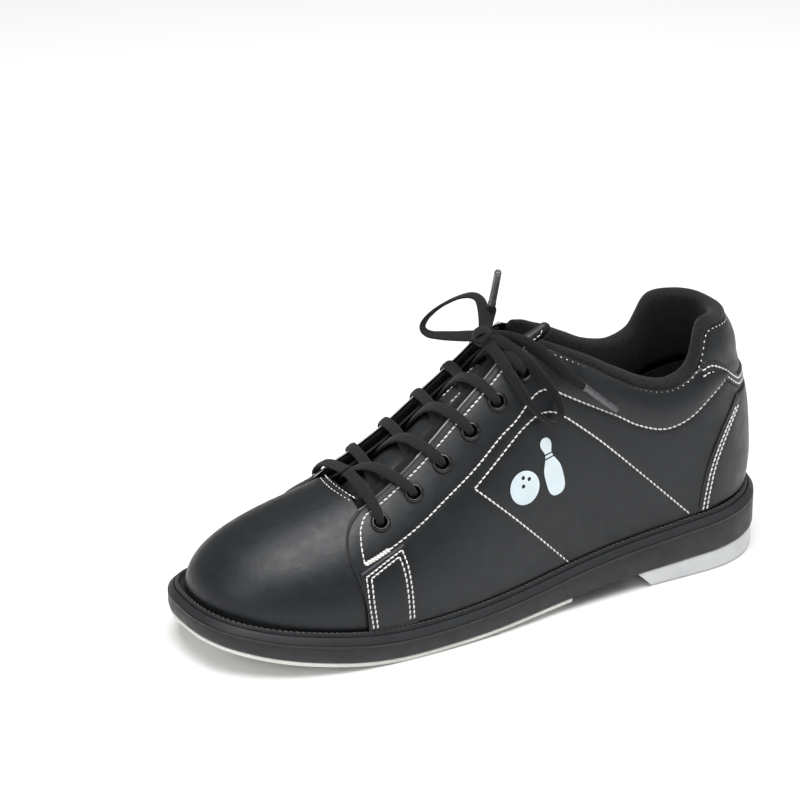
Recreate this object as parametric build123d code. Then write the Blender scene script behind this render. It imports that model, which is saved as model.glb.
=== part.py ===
from build123d import *
from math import asin, cos, pi, radians, sin, sqrt, tan
import os

os.makedirs("parts", exist_ok=True)

# A left bowling shoe. +X runs to the toe, +Y to the outer (lateral) side, +Z up.
# The origin is on the floor under the middle of the outsole. Millimetres.

# ---------------------------------------------------------------- driving dimensions
TOE_X = 150.0            # front end of the sole
HEEL_X = -150.0          # back end of the sole
TOE_START = 65.0         # the outline begins to close towards the toe
HEEL_START = -105.0      # and towards the heel
TOE_POWER = 2.6          # roundness of the sole's toe in plan
HEEL_POWER = 2.2
TOE_SWING = 8.5          # the toe turns this far to the medial side
MIDDLE_Y = 2.3           # the heel's centre line, so that the outline is centred on Y

# the sole's half widths, the height of the welt and of the midsole's underside, along X
LATERAL_WIDTH = [(-105, 41), (-40, 42), (20, 49), (75, 53), (110, 53)]
MEDIAL_WIDTH = [(-105, 37), (-40, 36), (20, 42), (75, 48), (110, 48)]
WELT_TOP = [(-150, 32), (-60, 24.5), (0, 17.5), (60, 14.5), (110, 20.5), (150, 28)]
SOLE_UNDER = [(-150, 12), (-60, 8), (0, 4.4), (35, 2.9), (70, 3.0), (110, 8.5), (150, 17)]
SLIDE_SOLE = 2.4         # thickness of the white slide sole
SLIDE_BACK = -30.0       # it ends here, under the arch
BREAST_TOP = -66.0       # front of the heel block at its top, and at the floor
BREAST_FLOOR = -76.0
WELT_THICK = 3.0
WELT_WIDE = 11.0
INSOLE_THICK = 2.0
FOOTBED_THICK = 4.4
SHANK = (-95.0, 10.0, 16.0, 1.2)     # back end, front end, width and thickness

# the upper's surface: an arch over each cross-section, closed at the toe and at the heel
FEATHER = 6.0            # the upper stands this far inside the edge of the sole
ARCH_POWER = 2.2         # superellipse power of the cross-section
UPPER_TOE_POWER = 2.7
RIDGE = [(-150, 170), (-60, 152), (-13, 130), (0, 120), (20, 105), (40, 89), (62, 75), (80, 68),
         (100, 64), (120, 62), (150, 61)]
HEEL_BACK = [(28, -144.5), (45, -147), (58, -146.7), (75, -145), (89, -142), (100, -139.5),
             (111, -136), (118, -133), (128, -129)]
HEEL_MIDDLE = -145.0     # the heel's back at its middle height
SIDE_UNIT = 62.0         # one unit of position along the straight sides

# layers of the upper, as offsets from that surface: (inner, outer)
LINING = (-4.2, -3.4)
STIFFENER = (-3.0, -2.2)
VAMP = (-1.9, -0.8)
QUARTER = (-0.5, 0.8)
OVERLAY = (1.1, 2.2)
HEEL_OVERLAY = (1.4, 2.4)
FILM = (1.0, 1.2)
COLLAR_OUTER = -1.1      # the collar's foam begins here
COLLAR_GAP = 0.3
COLLAR_LINING = 0.8

VAMP_BACK = 70.0         # back edge of the vamp between the facings
LINING_SEAM = 70.0
PUFF_BACK = 102.0        # the toe stiffener's back edge

# outlines of the quarters, collar and overlays in the side view
THROAT_TOP_X = -20.0     # upper end of the lacing
THROAT_TOP_HALF = 10.5   # half of the gap between the facings there
THROAT_WIDEN = 0.125     # the gap widens this much per mm towards the toe
QUARTER_TOP = [(-132, 91), (-127, 95), (-122, 99.5), (-115, 103.5), (-110, 104.5), (-103, 101.7),
               (-95, 98.2), (-84.5, 97.5), (-71, 101.8), (-58, 109), (-46, 116.5), (-34, 123),
               (-24, 127.5), (-20, 129.5)]
QUARTER_FRONT = [(0, 77.5), (0.35, 80.5), (0.65, 83), (0.82, 81.5), (0.94, 77), (1, 71)]
COLLAR_TOP = [(-120, 119.5), (-112, 118), (-107, 109.5), (-102, 101), (-95, 97.4), (-84.5, 96.7),
              (-71, 101), (-58, 108.2), (-46, 115.7), (-34, 122.2), (-24, 126.7)]
COLLAR_LOW = [(-130, 84), (-110, 78), (-95, 73), (-84.5, 72), (-71, 76), (-58, 84), (-46, 93),
              (-34, 103), (-24, 113)]
COLLAR_FRONT = -25.0
COLLAR_FOAM = [(-60, 5.5), (-25, 1.2)]               # thickness along X
TAB_FRONT = [(0, -106.0), (0.5, -107.5), (1, -113)]
TAB_TOP = 119.5
BAND_BELOW = 5.5
BAND_ABOVE = 1.0
HEEL_PATCH_EDGE = [(30, -103.5), (42, -105.5), (55, -109), (70, -117), (84, -129)]
HEEL_PATCH_TOP = 83.5
COUNTER_EDGE = [(30, -70), (58, -86), (71, -108)]
COUNTER_TOP = 71.0
SIDE_PATCH = ((79.5, 54.5), (80.5, 57.5), (43.5, 54.0))   # x at the foot, x and z at the top edge

# lacing
EYELET_X = [64.5, 46.5, 31.0, 15.5, 0.5, -14.0]
EYELET_FROM_EDGE = 9.0
EYELET_HOLE = 3.4        # radius of the hole in the leather
LACE = 1.9               # radius of the shoelace
LACE_OVER = 4.3          # height of the lace's middle over a facing
LACE_UNDER = -6.8        # and below it
LACE_ABOVE_EYELET = 5.4
LACE_BELOW_EYELET = -7.6
TOP_CROSSING = 2.2       # height of the middle of a lace that runs to the lateral side
LOW_CROSSING = -4.4      # and of one that runs to the medial side
LAST_CROSSING_DROP = 2.9 # the last pair crosses this much lower, under the knot

# the tongue lies this far below the upper's surface, along X
TONGUE_DEPTH = [(-33, -13.2), (-23, -12.4), (-14, -10.6), (0, -10), (40, -9.6), (60, -9.4), (69, -7.5)]
TONGUE_HALF = [(-33, 10.5), (-23, 10), (-12, 10.5), (0, 16), (40, 22), (69, 18)]
TONGUE_FRONT = 69.0
TONGUE_TOP = -32.5
TONGUE_SKIN = 1.2
TONGUE_FOAM = 4.0
TONGUE_LINING = 0.8
KEEPER = (0.0, 20.0, -5.5, 6.5, 1.0)    # back, front, medial edge, lateral edge and thickness

# the bow: places are (x, from the centre line, z)
KNOT = (-2.5, 3.5, 132.0)
KNOT_RADIUS = 5.2
AGLET = 2.0
AGLET_LENGTH = 22.0
LOOP_MEDIAL = [(2, -5, 129.5), (8, -14, 127.5), (14.5, -19.5, 127.5), (16, -22, 131.5), (9.5, -21.5, 138),
               (-1.5, -18.5, 143.5), (-8.5, -13, 145.5), (-9, -6.5, 141.5)]
LOOP_LATERAL = [(-3.5, 10.5, 128.5), (-5.5, 21, 121.5), (-8, 28.5, 113.5), (-12, 31.5, 105.5), (-17, 34, 98.5),
                (-23, 35.5, 95), (-27, 34.5, 99), (-26.5, 32.5, 105.5), (-22, 29.5, 114), (-16, 23, 123),
                (-11.5, 14, 129)]
END_SHORT = [(-7, 0, 136), (-11.5, -5, 139), (-9.5, 4, 160)]         # the last place is the aglet's tip
END_LONG = [(-11, 7, 132.5), (-19.5, 17.5, 130.5), (-27, 25, 123.5), (-37, 30, 112), (-55, 34, 96)]
LACE_STUB = 5.0          # straight lace before an aglet

# the printed emblem and the punched holes: places are (x, z) in the side view
BALL, BALL_RADIUS = (-6.0, 67.5), 8.0
FINGER_HOLES, FINGER_HOLE = [(-8.6, 71.2), (-5.4, 72.4), (-5.2, 68.4)], 1.0
PIN, PIN_LEAN = (-21.5, 74.0), 12.0
PIN_SIDE = [(0, -14.5), (3.2, -13.5), (5.0, -6), (4.4, 0), (2.2, 5), (1.9, 7.5), (2.9, 10.5), (2.4, 13.2),
            (0, 14.5)]
NECK_STRIPES, STRIPE = (4.6, 6.6), 0.8
VENT_ROWS, VENT_COLUMNS, VENT_HOLE = 4, 6, 0.8
VENT_FIRST = (-2.0, 78.0)
VENT_ACROSS = (-6.0, -2.2)           # from one hole to the next along a row
VENT_DOWN = (3.5, -6.0)              # from one row to the next

BEYOND = 80.0            # further out than any part of the shoe's width


# ---------------------------------------------------------------- curves
def through(stations, x):
    """Smooth curve through (x, value) stations, level past both ends."""
    if x <= stations[0][0]:
        return stations[0][1]
    if x >= stations[-1][0]:
        return stations[-1][1]
    last = len(stations) - 1
    i = max(k for k in range(last) if stations[k][0] <= x)

    def slope(k):
        (x0, y0), (x1, y1) = stations[max(k - 1, 0)], stations[min(k + 1, last)]
        return (y1 - y0) / (x1 - x0)

    (x0, y0), (x1, y1) = stations[i], stations[i + 1]
    step = x1 - x0
    t = (x - x0) / step
    return ((2 * t**3 - 3 * t**2 + 1) * y0 + (t**3 - 2 * t**2 + t) * step * slope(i)
            + (3 * t**2 - 2 * t**3) * y1 + (t**3 - t**2) * step * slope(i + 1))


def spine(x):
    """Y of the centre line."""
    t = min(max(x / TOE_X, 0), 1)
    return MIDDLE_Y - TOE_SWING * t * t * (3 - 2 * t)


def sole_half(x, side, inset):
    return through(LATERAL_WIDTH if side > 0 else MEDIAL_WIDTH, x) - inset


def sole_under(x):
    return through(SOLE_UNDER, x)


def welt_top(x):
    return through(WELT_TOP, x)


# ---------------------------------------------------------------- sole pieces
def outline(inset):
    """Vertical prism over the sole's plan, its edge moved in by inset."""
    heel = [radians(90 - 22.5 * step) for step in range(1, 5)]
    toe = [radians(22.5 * step) for step in range(1, 4)]
    points = [(HEEL_X + inset, spine(HEEL_X))]
    for side in (1, -1):
        half = []
        for angle in heel:
            x = HEEL_START - (HEEL_START - HEEL_X - inset) * sin(angle) ** (2 / HEEL_POWER)
            half.append((x, sole_half(x, side, inset) * cos(angle) ** (2 / HEEL_POWER)))
        for step in range(1, 6):
            x = HEEL_START + (TOE_START - HEEL_START) * step / 5
            half.append((x, sole_half(x, side, inset)))
        for angle in toe:
            x = TOE_START + (TOE_X - inset - TOE_START) * sin(angle) ** (2 / TOE_POWER)
            half.append((x, sole_half(x, side, inset) * cos(angle) ** (2 / TOE_POWER)))
        places = [(x, spine(x) + side * y) for x, y in half]
        if side > 0:
            points += places + [(TOE_X - inset, spine(TOE_X))]
        else:
            points += places[::-1]
    face = Face(Wire([Edge.make_spline([Vector(x, y, -5) for x, y in points], periodic=True)]))
    return extrude(face, amount=60, dir=(0, 0, 1))


def slab(low, high, back=HEEL_X - 5, front=TOE_X + 5, steps=16):
    """Everything between two heights that vary along X."""
    places = [back + (front - back) * k / steps for k in range(steps + 1)]
    top = Edge.make_spline([Vector(x, -BEYOND, high(x)) for x in places])
    bottom = Edge.make_spline([Vector(x, -BEYOND, low(x)) for x in places])
    ends = [Edge.make_line(Vector(x, -BEYOND, low(x)), Vector(x, -BEYOND, high(x))) for x in (back, front)]
    return extrude(Face(Wire([top, ends[1], bottom, ends[0]])), amount=2 * BEYOND, dir=(0, 1, 0))


def box(x0, x1, y0, y1, z0, z1):
    corner = (Align.MIN, Align.MIN, Align.MIN)
    return Pos(x0, y0, z0) * Box(x1 - x0, y1 - y0, z1 - z0, align=corner)


def welt_under(x):
    return welt_top(x) - WELT_THICK


def make_sole():
    """The pieces under the foot, from the floor up."""
    pieces = {}
    sheet = slab(lambda x: sole_under(x) - SLIDE_SOLE, lambda x: sole_under(x) - 0.2)
    pieces["slide_sole"] = outline(0.8) & sheet & box(SLIDE_BACK, TOE_X, -BEYOND, BEYOND, 0, 30)
    side_view = [(HEEL_X, 0), (BREAST_FLOOR, 0), (BREAST_TOP, 14), (BREAST_TOP, 20), (HEEL_X, 20)]
    breast = Face(Wire.make_polygon([(x, -BEYOND, z) for x, z in side_view]))
    block = slab(lambda x: sole_under(x) - 30, lambda x: sole_under(x) - 0.2)
    pieces["heel_block"] = outline(0.8) & block & extrude(breast, amount=2 * BEYOND, dir=(0, 1, 0))
    pieces["midsole"] = outline(0) & slab(sole_under, lambda x: welt_under(x) - 0.2)
    strip = outline(0.3) - outline(WELT_WIDE)
    pieces["welt"] = strip & slab(welt_under, welt_top)
    back, front, wide, thick = SHANK
    shank = slab(lambda x: welt_top(x) - 1.7, lambda x: welt_top(x) - 1.7 + thick, back, front)
    shank = shank & box(back, front, MIDDLE_Y - wide / 2, MIDDLE_Y + wide / 2, 0, 60)
    pieces["shank"] = shank
    pocket = slab(lambda x: welt_top(x) - 1.8, lambda x: welt_top(x) + 0.5, back - 0.3, front + 0.3)
    pocket = pocket & box(back - 0.3, front + 0.3, MIDDLE_Y - wide / 2 - 0.2, MIDDLE_Y + wide / 2 + 0.2, 0, 60)
    filler = outline(WELT_WIDE + 0.3) & slab(welt_under, welt_top)
    pieces["bottom_filler"] = filler - pocket
    pieces["insole_board"] = outline(FEATHER + 5.5) & slab(
        lambda x: base(x) + 0.2, lambda x: base(x) + INSOLE_THICK)
    pieces["footbed"] = outline(FEATHER + 7) & slab(
        lambda x: base(x) + INSOLE_THICK + 0.3, lambda x: base(x) + INSOLE_THICK + FOOTBED_THICK)
    return pieces


# ---------------------------------------------------------------- the upper's surface
def base(x):
    return welt_top(x) + 0.2


def rise(x, d):
    return through(RIDGE, x) - base(x) + d


def toe_part(x, d):
    return max(0.0, (x - TOE_START) / (TOE_X - FEATHER + d - TOE_START))


def heel_part(x, z, d):
    return max(0.0, (HEEL_START - x) / (HEEL_START - through(HEEL_BACK, z) + d))


def half_width(x, z, side, d):
    """Half width of the upper at height z of the cross-section at x."""
    wide = sole_half(x, side, FEATHER - d)
    high = min(max((z - base(x)) / rise(x, d), 0), 1) ** ARCH_POWER
    if x > 0:
        return wide * max(1 - high - toe_part(x, d) ** UPPER_TOE_POWER, 0) ** (1 / ARCH_POWER)
    return wide * (1 - high) ** (1 / ARCH_POWER) * sqrt(max(1 - heel_part(x, z, d) ** 2, 0))


def crown(x, across, d):
    """Height of the upper's surface over a point that lies across from the centre line."""
    wide = sole_half(x, 1 if across > 0 else -1, FEATHER - d)
    gone = min(abs(across) / wide, 1) ** ARCH_POWER + toe_part(x, d) ** UPPER_TOE_POWER
    return base(x) + rise(x, d) * max(1 - gone, 0) ** (1 / ARCH_POWER)


def on_crown(x, across, d):
    return (x, spine(x) + across, crown(x, across, d))


def on_side(x, z, side, d):
    return (x, spine(x) + side * half_width(x, z, side, d), z)


def on_wall(turn, z, side, d):
    """A place on the wall: turn is 0 at the back seam and 1 where the heel's curve begins."""
    if turn >= 1:
        return on_side(HEEL_START + (turn - 1) * SIDE_UNIT, z, side, d)
    back = HEEL_START - through(HEEL_BACK, z) + d
    return on_side(HEEL_START - back * sin((1 - turn) * pi / 2), z, side, d)


def turn_at(x, z):
    """The position round the heel of a place with this x and z."""
    if x >= HEEL_START:
        return 1 + (x - HEEL_START) / SIDE_UNIT
    return 1 - asin(min(heel_part(x, z, 0), 1)) * 2 / pi


def wall_x(turn):
    """X of a position, taken at the heel's middle height."""
    if turn >= 1:
        return HEEL_START + (turn - 1) * SIDE_UNIT
    return HEEL_START - (HEEL_START - HEEL_MIDDLE) * sin((1 - turn) * pi / 2)


def climb(x, low, high, v):
    """Height at the fraction v between two heights, evenly spaced round the arch."""
    def angle(z):
        return asin(min(max((z - base(x)) / rise(x, 0), 0), 1) ** (ARCH_POWER / 2))
    middle = angle(low) + (angle(high) - angle(low)) * v
    return base(x) + rise(x, 0) * sin(middle) ** (2 / ARCH_POWER)


def normal(x, across):
    """Unit vector out of the upper's crown."""
    step = 0.05
    along = (crown(x + step, across, 0) - crown(x - step, across, 0)) / (2 * step)
    aside = (crown(x, across + step, 0) - crown(x, across - step, 0)) / (2 * step)
    return Vector(-along, -aside, 1).normalized()


def lifted(x, across, height):
    """A place over the crown, height out along its normal."""
    return Vector(*on_crown(x, across, 0)) + normal(x, across) * height


# ---------------------------------------------------------------- layers of the upper
def curve(points):
    last = len(points) - 1
    return Edge.make_spline([Vector(*p) for p in points], parameters=[k / last for k in range(last + 1)])


def layer(place, inner, outer, columns, rows):
    """Closed solid between two offsets. place(u, v, offset) gives a point, u and v from 0 to 1."""
    sections, ends = [], []
    for i in range(columns + 1):
        out = [place(i / columns, j / rows, outer) for j in range(rows + 1)]
        back = [place(i / columns, j / rows, inner) for j in range(rows + 1)]
        near, far = curve(out), curve(back)
        sections.append(Wire([near, Edge.make_line(out[-1], back[-1]), far, Edge.make_line(back[0], out[0])]))
        if i in (0, columns):
            ends.append(Face.make_surface_from_curves(near, far))
    return Solid(Shell(list(Shell.make_loft(sections).faces()) + ends))


def toe_cap(back):
    """Place function of an arch from x = back to the tip of the toe."""
    start = max(back - TOE_START, 0) / (TOE_X - FEATHER - TOE_START)
    first = asin(start ** (UPPER_TOE_POWER / 2))
    last = radians(89)

    def place(u, v, d):
        part = sin(first + (last - first) * u) ** (2 / UPPER_TOE_POWER)
        x = TOE_START + (TOE_X - FEATHER + d - TOE_START) * part
        left = (1 - part ** UPPER_TOE_POWER) ** (1 / ARCH_POWER)
        side = 1 if v < 0.5 else -1
        angle = pi * v if v < 0.5 else pi * (1 - v)
        across = side * sole_half(x, side, FEATHER - d) * left * cos(angle) ** (2 / ARCH_POWER)
        return (x, spine(x) + across, base(x) + rise(x, d) * left * sin(angle) ** (2 / ARCH_POWER))
    return place


def throat_half(x):
    return THROAT_TOP_HALF + (x - THROAT_TOP_X) * THROAT_WIDEN


def quarter_top(x, side):
    if x > THROAT_TOP_X:
        return crown(x, side * throat_half(x), 0)
    return through(QUARTER_TOP, x)


def quarter(side):
    def place(u, v, d):
        front = turn_at(through(QUARTER_FRONT, v), 40)
        turn = front * (1 - u) + 0.004
        x = wall_x(turn)
        return on_wall(turn, climb(x, base(x), quarter_top(x, side), v), side, d)
    return place


def quarter_lining(side):
    def place(u, v, d):
        front = turn_at(LINING_SEAM - 1, 40)
        turn = front * (1 - u) + 0.004
        x = wall_x(turn)
        high = quarter_top(x, side) - 1 if x > THROAT_TOP_X else through(COLLAR_LOW, x) - 1.5
        fade = min(max((x - THROAT_TOP_X) / 12, 0), 1)
        high = high * fade + (through(COLLAR_LOW, x) - 1.5) * (1 - fade)
        return on_wall(turn, climb(x, base(x), high, v), side, d)
    return place


def facing_stiffener(side):
    """Reinforcement strip under the eyelets."""
    def place(u, v, d):
        x = 66 - (66 + 16) * u
        return on_crown(x, side * (throat_half(x) + 1.5 + 14 * (1 - v)), d)
    return place


def round_heel(low, high, front):
    """Place function of a strip that runs round the heel between two heights, both sides."""
    def place(u, v, d):
        position = front(v) * (1 - 2 * u)
        side = 1 if position >= 0 else -1
        turn = abs(position)
        x = wall_x(turn)
        return on_wall(turn, low(x) + (high(x) - low(x)) * v, side, d)
    return place


def collar(depth, thick):
    """A layer of the collar. The offsets 0 and 1 are its outer and inner face."""
    front = turn_at(COLLAR_FRONT, 100)

    def place(u, v, face):
        turn = abs(front * (1 - 2 * u))
        x = wall_x(turn)
        offset = COLLAR_OUTER - depth(x) - face * thick(x)
        strip = round_heel(lambda x: through(COLLAR_LOW, x), lambda x: through(COLLAR_TOP, x), lambda v: front)
        return strip(u, v, offset)
    return place


def side_patch(side):
    (foot_front, foot_back), (top_front, top_back), (high_front, high_back) = SIDE_PATCH

    def place(u, v, d):
        x = (foot_front + (top_front - foot_front) * v) * (1 - u) + (foot_back + (top_back - foot_back) * v) * u
        top = high_front + (high_back - high_front) * u
        return on_side(x, base(x) + (top - base(x)) * v, side, d)
    return place


def foam_thick(x):
    return through(COLLAR_FOAM, x)


def make_upper():
    pieces = {}
    pieces["vamp"] = layer(toe_cap(VAMP_BACK), *VAMP, 16, 16)
    pieces["toe_puff"] = layer(toe_cap(PUFF_BACK), *STIFFENER, 12, 16)
    pieces["vamp_lining"] = layer(toe_cap(LINING_SEAM), *LINING, 16, 16)
    for name, side in (("lateral", 1), ("medial", -1)):
        pieces["quarter_" + name] = layer(quarter(side), *QUARTER, 32, 8)
        pieces["quarter_lining_" + name] = layer(quarter_lining(side), *LINING, 28, 6)
        pieces["facing_stiffener_" + name] = layer(facing_stiffener(side), *STIFFENER, 12, 6)
        pieces["side_patch_" + name] = layer(side_patch(side), *OVERLAY, 6, 6)
    pieces["heel_tab"] = layer(round_heel(lambda x: through(QUARTER_TOP, x) + 0.7, lambda x: TAB_TOP,
                                          lambda v: turn_at(through(TAB_FRONT, v), 105)), *QUARTER, 24, 6)
    pieces["heel_band"] = layer(round_heel(lambda x: through(QUARTER_TOP, x) - BAND_BELOW,
                                           lambda x: through(QUARTER_TOP, x) + BAND_ABOVE,
                                           lambda v: turn_at(-106.5, 100)), *OVERLAY, 24, 3)

    def heel_patch(u, v, d):
        z = welt_top(-120) + 3 + (HEEL_PATCH_TOP - welt_top(-120) - 3) * v
        position = turn_at(through(HEEL_PATCH_EDGE, z), z) * (1 - 2 * u)
        return on_wall(abs(position), z, 1 if position >= 0 else -1, d)
    pieces["heel_patch"] = layer(heel_patch, *HEEL_OVERLAY, 28, 10)

    def counter(u, v, d):
        z = welt_top(-120) + 3 + (COUNTER_TOP - welt_top(-120) - 3) * v
        position = turn_at(through(COUNTER_EDGE, z), z) * (1 - 2 * u)
        return on_wall(abs(position), z, 1 if position >= 0 else -1, d)
    pieces["heel_counter"] = layer(counter, *STIFFENER, 30, 8)
    pieces["collar_foam"] = layer(collar(lambda x: 0, foam_thick), 1, 0, 28, 3)
    under_foam = collar(lambda x: foam_thick(x) + COLLAR_GAP, lambda x: COLLAR_LINING)
    pieces["collar_lining"] = layer(under_foam, 1, 0, 28, 3)
    return pieces


# ---------------------------------------------------------------- tongue
def tongue(depth):
    """Place function of a layer of the tongue. The offset counts down from depth."""
    def place(u, v, d):
        x = TONGUE_FRONT + (TONGUE_TOP - TONGUE_FRONT) * u
        across = through(TONGUE_HALF, x) * (1 - 2 * v)
        return tuple(lifted(x, across, through(TONGUE_DEPTH, x) - depth + d))
    return place


def make_tongue():
    pieces = {}
    pieces["tongue_outer"] = layer(tongue(0), -TONGUE_SKIN, 0, 18, 6)
    below = TONGUE_SKIN + 0.3
    pieces["tongue_foam"] = layer(tongue(below), -TONGUE_FOAM, 0, 18, 6)
    below += TONGUE_FOAM + 0.3
    pieces["tongue_lining"] = layer(tongue(below), -TONGUE_LINING, 0, 18, 6)
    back, front, medial, lateral, thick = KEEPER

    def keeper(u, v, d):
        x = front + (back - front) * u
        return tuple(lifted(x, medial + (lateral - medial) * v, through(TONGUE_DEPTH, x) + d))
    pieces["lace_keeper"] = layer(keeper, 0.2, 0.2 + thick, 8, 4)
    return pieces


# ---------------------------------------------------------------- eyelets
def eyelet_across(i, side):
    return side * (throat_half(EYELET_X[i]) + EYELET_FROM_EDGE)


def eyelet_plane(i, side):
    across = eyelet_across(i, side)
    return Plane(origin=lifted(EYELET_X[i], across, 0), z_dir=normal(EYELET_X[i], across))


def make_eyelet():
    """A rolled metal eyelet about Z, its face over the leather at z = 0.8."""
    profile = [(2.8, -5.1), (4.0, -5.1), (4.0, -4.7), (3.2, -4.7), (3.2, 1.2), (4.6, 1.2),
               (4.6, 1.5), (3.8, 2.1), (3.1, 1.9), (2.8, 1.3)]
    face = Face(Wire.make_polygon([(r, 0, z) for r, z in profile]))
    return revolve(face, Axis.Z, 360)


def make_eyelets(side):
    eyelet = make_eyelet()
    return [eyelet_plane(i, side).location * eyelet for i in range(len(EYELET_X))]


def eyelet_holes(side):
    return [eyelet_plane(i, side).location * Cylinder(EYELET_HOLE, 16) for i in range(len(EYELET_X))]


# ---------------------------------------------------------------- shoelace
def tube(points, radius, largest=1000.0):
    """Round cord along straight runs joined by tangent arcs."""
    radii = []
    for before, here, after in zip(points, points[1:], points[2:]):
        turn = radians((here - before).get_angle(after - here))
        shorter = min((here - before).length, (after - here).length)
        radii.append(min(0.45 * shorter / tan(turn / 2), largest))
    path = FilletPolyline(*points, radius=radii)
    wire = Wire(path.edges())
    section = Plane(origin=wire @ 0, z_dir=wire % 0) * Circle(radius)
    solid = sweep(section, path=wire)
    print(f"cord {wire.length:.1f} mm, smallest bend {min(radii):.1f}, "
          f"volume ratio {solid.volume / (pi * radius**2 * wire.length):.3f}")
    return solid


def crossing(i, start):
    """Route of the lace from below eyelet i on one side to below eyelet i + 1 on the other."""
    x0, x1 = EYELET_X[i], EYELET_X[i + 1]
    last = i == len(EYELET_X) - 2
    middle = (TOP_CROSSING if start < 0 else LOW_CROSSING) - (LAST_CROSSING_DROP if last else 0)
    low_x = x0 + (x1 - x0) * 0.22
    high_x = x0 + (x1 - x0) * 0.78
    return [lifted(low_x, start * (throat_half(low_x) + 1.0), LACE_UNDER),
            lifted((x0 + x1) / 2, -0.6 * start, middle),
            lifted(high_x, -start * (throat_half(high_x) + 1.0), LACE_OVER),
            lifted(x1, eyelet_across(i + 1, -start), LACE_ABOVE_EYELET),
            lifted(x1, eyelet_across(i + 1, -start), LACE_BELOW_EYELET)]


def half_lace(start):
    """From the middle of the lowest bar, through six eyelets, up to the knot."""
    x = EYELET_X[0]
    points = [lifted(x, 0, LACE_OVER - 0.5), lifted(x, start * (throat_half(x) + 1), LACE_OVER),
              lifted(x, eyelet_across(0, start), LACE_ABOVE_EYELET),
              lifted(x, eyelet_across(0, start), LACE_BELOW_EYELET)]
    side = start
    for i in range(len(EYELET_X) - 1):
        points += crossing(i, side)
        side = -side
    points.append(lifted(EYELET_X[-1] - 1, side * (throat_half(EYELET_X[-1]) + 0.5), LACE_UNDER))
    points.append(lifted(-9, side * 5.5, 0.5))
    points.append(Vector(KNOT[0] - 1, MIDDLE_Y + KNOT[1] + side * 1.5, KNOT[2] - 1))
    return points


def make_lace():
    knot_at = Vector(KNOT[0], MIDDLE_Y + KNOT[1], KNOT[2])
    knot = Pos(*knot_at) * Sphere(KNOT_RADIUS)
    pieces = {"lace_knot": knot}
    halves = [tube(half_lace(side), LACE, 4.0) - knot for side in (1, -1)]
    pieces["shoelace"] = halves[0] + halves[1]

    def route(places):
        return [knot_at] + [Vector(x, MIDDLE_Y + across, z) for x, across, z in places]

    inside = knot_at + Vector(-1, 0, 1)
    pieces["bow_loop_medial"] = tube(route(LOOP_MEDIAL) + [inside], LACE) - knot
    pieces["bow_loop_lateral"] = tube(route(LOOP_LATERAL) + [inside], LACE) - knot
    for name, places in (("short", END_SHORT), ("long", END_LONG)):
        *points, tip = route(places)
        along = (tip - points[-1]).normalized()
        pieces["lace_end_" + name] = tube(points + [points[-1] + along * LACE_STUB], LACE) - knot
        plane = Plane(origin=points[-1] + along * (LACE_STUB + 0.1), z_dir=along)
        height = (Align.CENTER, Align.CENTER, Align.MIN)
        pieces["aglet_" + name] = plane.location * Cylinder(AGLET, AGLET_LENGTH, align=height)
    return pieces


# ---------------------------------------------------------------- emblem and ventilation holes
def upright_circle(x, z, radius):
    return Pos(x, 0, z) * Rot(90, 0, 0) * Circle(radius)


def make_emblem():
    """A bowling pin and a ball printed on the lateral quarter."""
    def window(u, v, d):
        return on_side(-32 + 36 * u, 56 + 34 * v, 1, d)
    film = layer(window, *FILM, 6, 6)
    ball = upright_circle(*BALL, BALL_RADIUS)
    for x, z in FINGER_HOLES:
        ball = ball - upright_circle(x, z, FINGER_HOLE)
    right = Edge.make_spline([Vector(x, 0, z) for x, z in PIN_SIDE])
    left = Edge.make_spline([Vector(-x, 0, z) for x, z in PIN_SIDE])
    pin = Face(Wire([right, left]))
    for z in NECK_STRIPES:
        pin = pin - Pos(0, 0, z) * Rot(90, 0, 0) * Rectangle(6, STRIPE)
    pin = Pos(PIN[0], 0, PIN[1]) * Rot(0, PIN_LEAN, 0) * pin
    return [film & extrude(shape, amount=BEYOND, dir=(0, 1, 0)) for shape in (ball, pin)]


def ventilation():
    """Punched holes in the medial quarter, in rows that lean like the facing."""
    holes = []
    for row in range(VENT_ROWS):
        for column in range(VENT_COLUMNS):
            x = VENT_FIRST[0] + VENT_ACROSS[0] * column + VENT_DOWN[0] * row
            z = VENT_FIRST[1] + VENT_ACROSS[1] * column + VENT_DOWN[1] * row
            holes.append(Pos(x, -BEYOND / 2, z) * Rot(90, 0, 0) * Cylinder(VENT_HOLE, BEYOND - 20))
    return holes


# ---------------------------------------------------------------- assembly
def main():
    pieces = make_sole() | make_upper() | make_tongue() | make_lace()
    for name, side in (("lateral", 1), ("medial", -1)):
        pieces["eyelets_" + name] = make_eyelets(side)
        for part in ("quarter_", "quarter_lining_", "facing_stiffener_"):
            pieces[part + name] = pieces[part + name] - eyelet_holes(side)
    pieces["quarter_medial"] = pieces["quarter_medial"] - ventilation()
    pieces["emblem_print"] = make_emblem()
    for name, piece in pieces.items():
        shape = Compound(children=list(piece)) if isinstance(piece, list) else piece
        export_step(shape, f"parts/{name}.step")


main()
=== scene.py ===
import bmesh
import bpy
from math import asin, cos, exp, hypot, pi, radians, sin, sqrt
from mathutils import Matrix, Vector, kdtree, noise


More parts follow.
